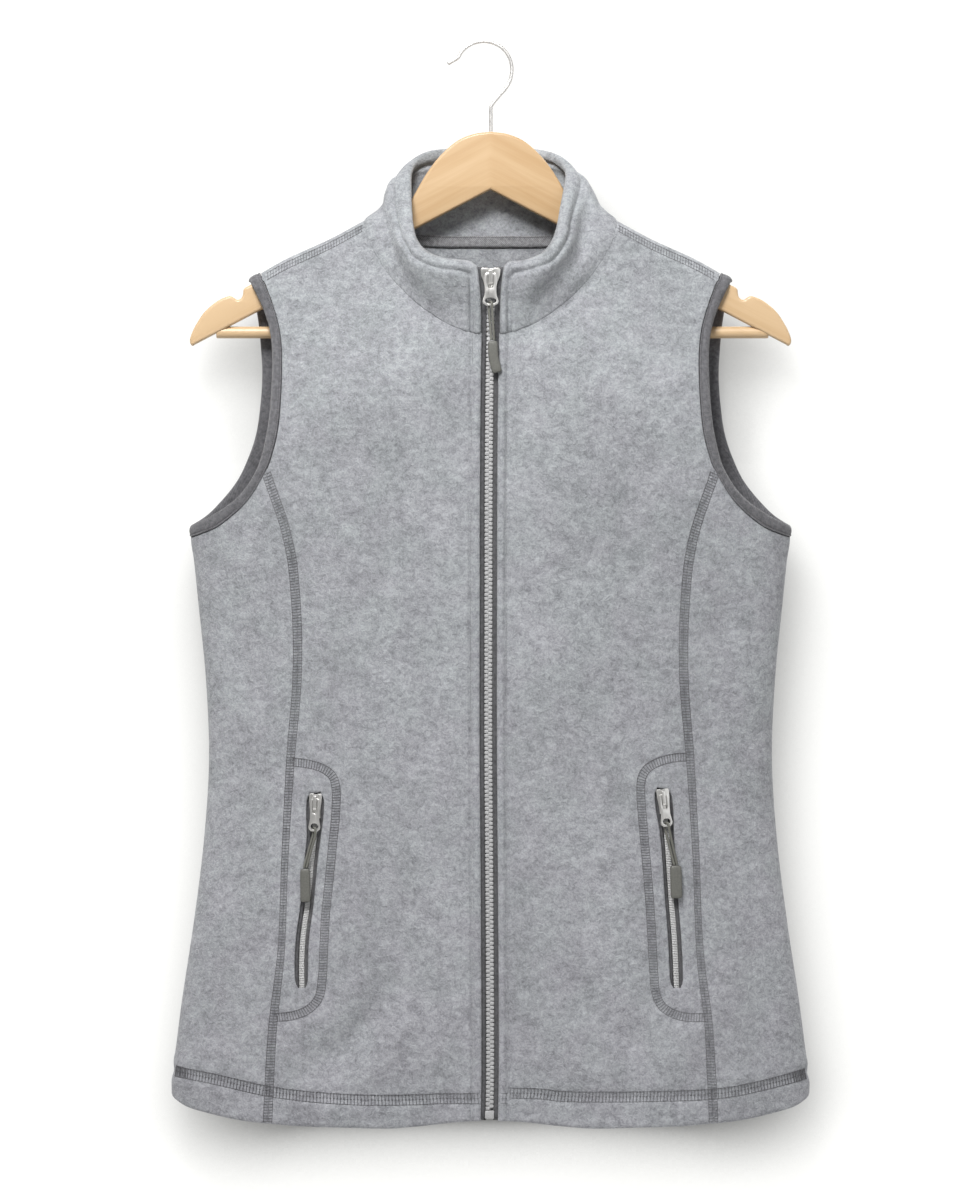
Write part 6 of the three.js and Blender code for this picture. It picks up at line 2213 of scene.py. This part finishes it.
    def pockets(self) -> None:
        """Sew round both pockets."""
        lots = [self.ladder(Face.FRONT, soft_line(pocket.outline, 200), pocket.side.value[1], 2.0, 2.95)
                for pocket in POCKETS]
        self.thread_piece("pocket_outline_thread", lots)

    def neck_tape(self, collar: Collar) -> None:
        """Sew the two edges of the collar's neck tape, from the inside."""
        lots = []
        t = np.linspace(collar.tape_from + 0.01, 1, 60)
        height = np.linalg.norm(collar.rim(t) - collar.neck(t), axis=1)
        for up in (1.2, collar.tape_width - 1.2):
            v = (up - collar.tape_below) / height
            out = collar.normal(t, v)
            deep = collar.thickness(t, v) + 1.5 * GAP + collar.tape_cloth + 0.1
            inside = collar.face(t, v) - out * deep[:, None]
            for turned in ((1, 1, 1), (-1, 1, 1)):
                lots.append(self.single(inside * turned, -out * turned, 2.6))
        self.thread_piece("neck_tape_thread", lots, thread=0.4, crown=0.15)

    def beside_zip(self) -> None:
        """Topstitch both edges of the front beside the zip."""
        lots = []
        for s in (1, -1):
            z = np.linspace(-776, NECK_Z + 3, 300)
            points, out = self.form.cloth(Face.FRONT, self.form.place(
                np.abs(s * ZIP_TOPSTITCH + zip_lean(z)), z), s)
            lots.append(self.single(points + out * 0.05, out))
        self.thread_piece("zip_edge_thread", lots, PALE_THREAD, 0.45, 0.12)

    def build(self, binding_lots: list[Spots], collar: Collar) -> None:
        """Sew every seam.

        Args:
            binding_lots: The stitches along the armhole bindings.
            collar: The collar, for its neck tape.
        """
        self.seams()
        self.hems()
        self.pockets()
        self.thread_piece("binding_thread", binding_lots, crown=0.18)
        self.neck_tape(collar)
        self.beside_zip()


# ---- Studio ----------------------------------------------------------------------------------


@dataclass(frozen=True)
class Lamp:
    """A square soft light: its place, its aim, its size in metres, its power and its tint."""

    name: str
    place: Point
    aim: Point
    size: float
    power: float
    tint: Point

    def light(self) -> None:
        """Add the light."""
        data = bpy.data.lights.new(self.name, "AREA")
        data.size, data.energy, data.color = self.size, self.power, self.tint
        lamp = new_object(self.name, data)
        lamp.location = self.place
        way = Vector(self.aim) - Vector(self.place)
        lamp.rotation_euler = way.to_track_quat("-Z", "Y").to_euler()


LAMPS = (
    Lamp("key", (-0.4, -1.5, 1.2), (0, 0, -0.35), 0.75, 52, (1.0, 0.995, 0.985)),
    Lamp("top", (-0.2, -0.9, 0.75), (0, 0, -0.4), 0.7, 5, (1.0, 1.0, 1.0)),
    Lamp("fill", (1.8, -2.6, 0.1), (0, 0, -0.45), 1.8, 10, (0.98, 0.99, 1.0)),
    Lamp("behind", (0.9, 2.4, 0.9), (0, 0, -0.4), 1.6, 55, (1, 1, 1)),
)


@dataclass
class Studio:
    """The camera, the soft lights, the pale floor and the white backdrop, in metres."""

    distance: float = 5.0
    sky: float = 0.27
    look: tuple[float, float] = (-0.00074, -0.4123)
    frame_height: float = 0.8904
    backdrop_y: float = 0.036
    floor_z: float = -1.2
    shade_from: Point = (-0.18, -0.45, 0.88)
    shade_reach: float = 0.1
    shade_span: tuple[float, float] = (0.37, 0.95)

    def camera(self) -> None:
        """Set the camera level, in front of the vest."""
        data = bpy.data.cameras.new("camera")
        data.sensor_width = 36
        data.lens = data.sensor_width * self.distance / self.frame_height
        data.clip_end = 60
        camera = new_object("camera", data)
        camera.location = (self.look[0], -self.distance, self.look[1])
        camera.rotation_euler = (math.pi / 2, 0, 0)
        bpy.context.scene.camera = camera

    def floor(self) -> bpy.types.Material:
        """Make the floor's matt, pale finish."""
        look = Shading("studio_floor", roughness=0.9)
        return look.finish(look.blend(look.noise(3.0), (0.52, 0.52, 0.515), (0.56, 0.56, 0.555)))

    def backdrop(self) -> bpy.types.Material:
        """Make the backdrop's glowing white, with a painted shadow close below and right of what hangs
        before it.

        Returns:
            The material, which shows only from the front.
        """
        look = Shading("studio_backdrop", roughness=0.9)
        tree, shader = look.tree, look.shader
        shader.inputs["Base Color"].default_value = (0.1, 0.1, 0.1, 1)
        shader.inputs["Emission Color"].default_value = (1, 1, 0.98, 1)
        towards = add(tree, "ShaderNodeCombineXYZ", dict(enumerate(self.shade_from)))
        open_share = add(tree, "ShaderNodeAmbientOcclusion", {
            "Distance": self.shade_reach, "Normal": towards.outputs[0]}, samples=24)
        shaded, whole = self.shade_span
        # painted shadow: the backdrop's glow is dimmed where occlusion towards the upper left front is
        # high, so a short shadow shows below and right of the vest and hanger
        glow_with_painted_shadow = look.span(open_share.outputs[1], shaded, whole, 0.0, 1.02)
        tree.links.new(glow_with_painted_shadow, shader.inputs["Emission Strength"])
        clear = add(tree, "ShaderNodeBsdfTransparent")
        face = add(tree, "ShaderNodeNewGeometry")
        either = add(tree, "ShaderNodeMixShader", {0: face.outputs["Backfacing"], 1: shader.outputs[0],
                                                   2: clear.outputs[0]})
        tree.links.new(either.outputs[0], tree.nodes["Material Output"].inputs[0])
        return look.material

    def build(self) -> None:
        """Light the scene and set its floor and backdrop."""
        scene = bpy.context.scene
        scene.view_settings.view_transform = "Standard"
        world = bpy.data.worlds.new("studio")
        scene.world = world
        world.use_nodes = True
        colour, strength = world.node_tree.nodes["Background"].inputs[:2]
        colour.default_value, strength.default_value = (1.0, 1.0, 1.0, 1), self.sky
        for lamp in LAMPS:
            lamp.light()
        for name, low, high, flat in (("backdrop", (-4, 4), (self.floor_z, 3.2), False),
                                      ("floor", (-4, 4), (-4.0, 4.0), True)):
            corners = [(low[0], high[0]), (low[1], high[0]), (low[1], high[1]), (low[0], high[1])]
            points = [(x, s, self.floor_z) if flat else (x, self.backdrop_y, s) for x, s in corners]
            mesh = bpy.data.meshes.new(name)
            mesh.from_pydata(points, [], [(0, 1, 2, 3)])
            mesh.materials.append(self.floor() if flat else self.backdrop())
            piece = new_object(name, mesh)
            piece.visible_shadow = flat


def main() -> None:
    """Build the vest, its hanger and the studio, in order."""
    logging.basicConfig(level=logging.INFO, format="%(message)s", stream=sys.stdout)
    studio, form = Studio(), Form()
    studio.camera()
    cut = Pattern(form)
    collar = Collar(cut)
    Pull(Track.main(collar, np.array([PIVOT_Z])), MAIN_ZIP, "zip", "", "main_pull", MAIN_GRIP, 1,
         MAIN_PULL_LEAN).build()
    for pocket in POCKETS:
        name, sign = pocket.side.value
        track = Track.pocket(form, pocket, np.array([pocket.pivot_z]))
        Pull(track, POCKET_ZIP, "pocket", "_" + name, "pocket_pull_" + name, pocket.grip, sign,
             grip_half=pocket.grip_half).build()
    Panels(cut).build()
    collar.build()
    binding_lots = Bindings(cut).build()
    MainZip(collar).build()
    for pocket in POCKETS:
        PocketZip(form, pocket).build()
    Stitching(form).build(binding_lots, collar)
    Hanger().build()
    studio.build()


if __name__ == "__main__":
    main()
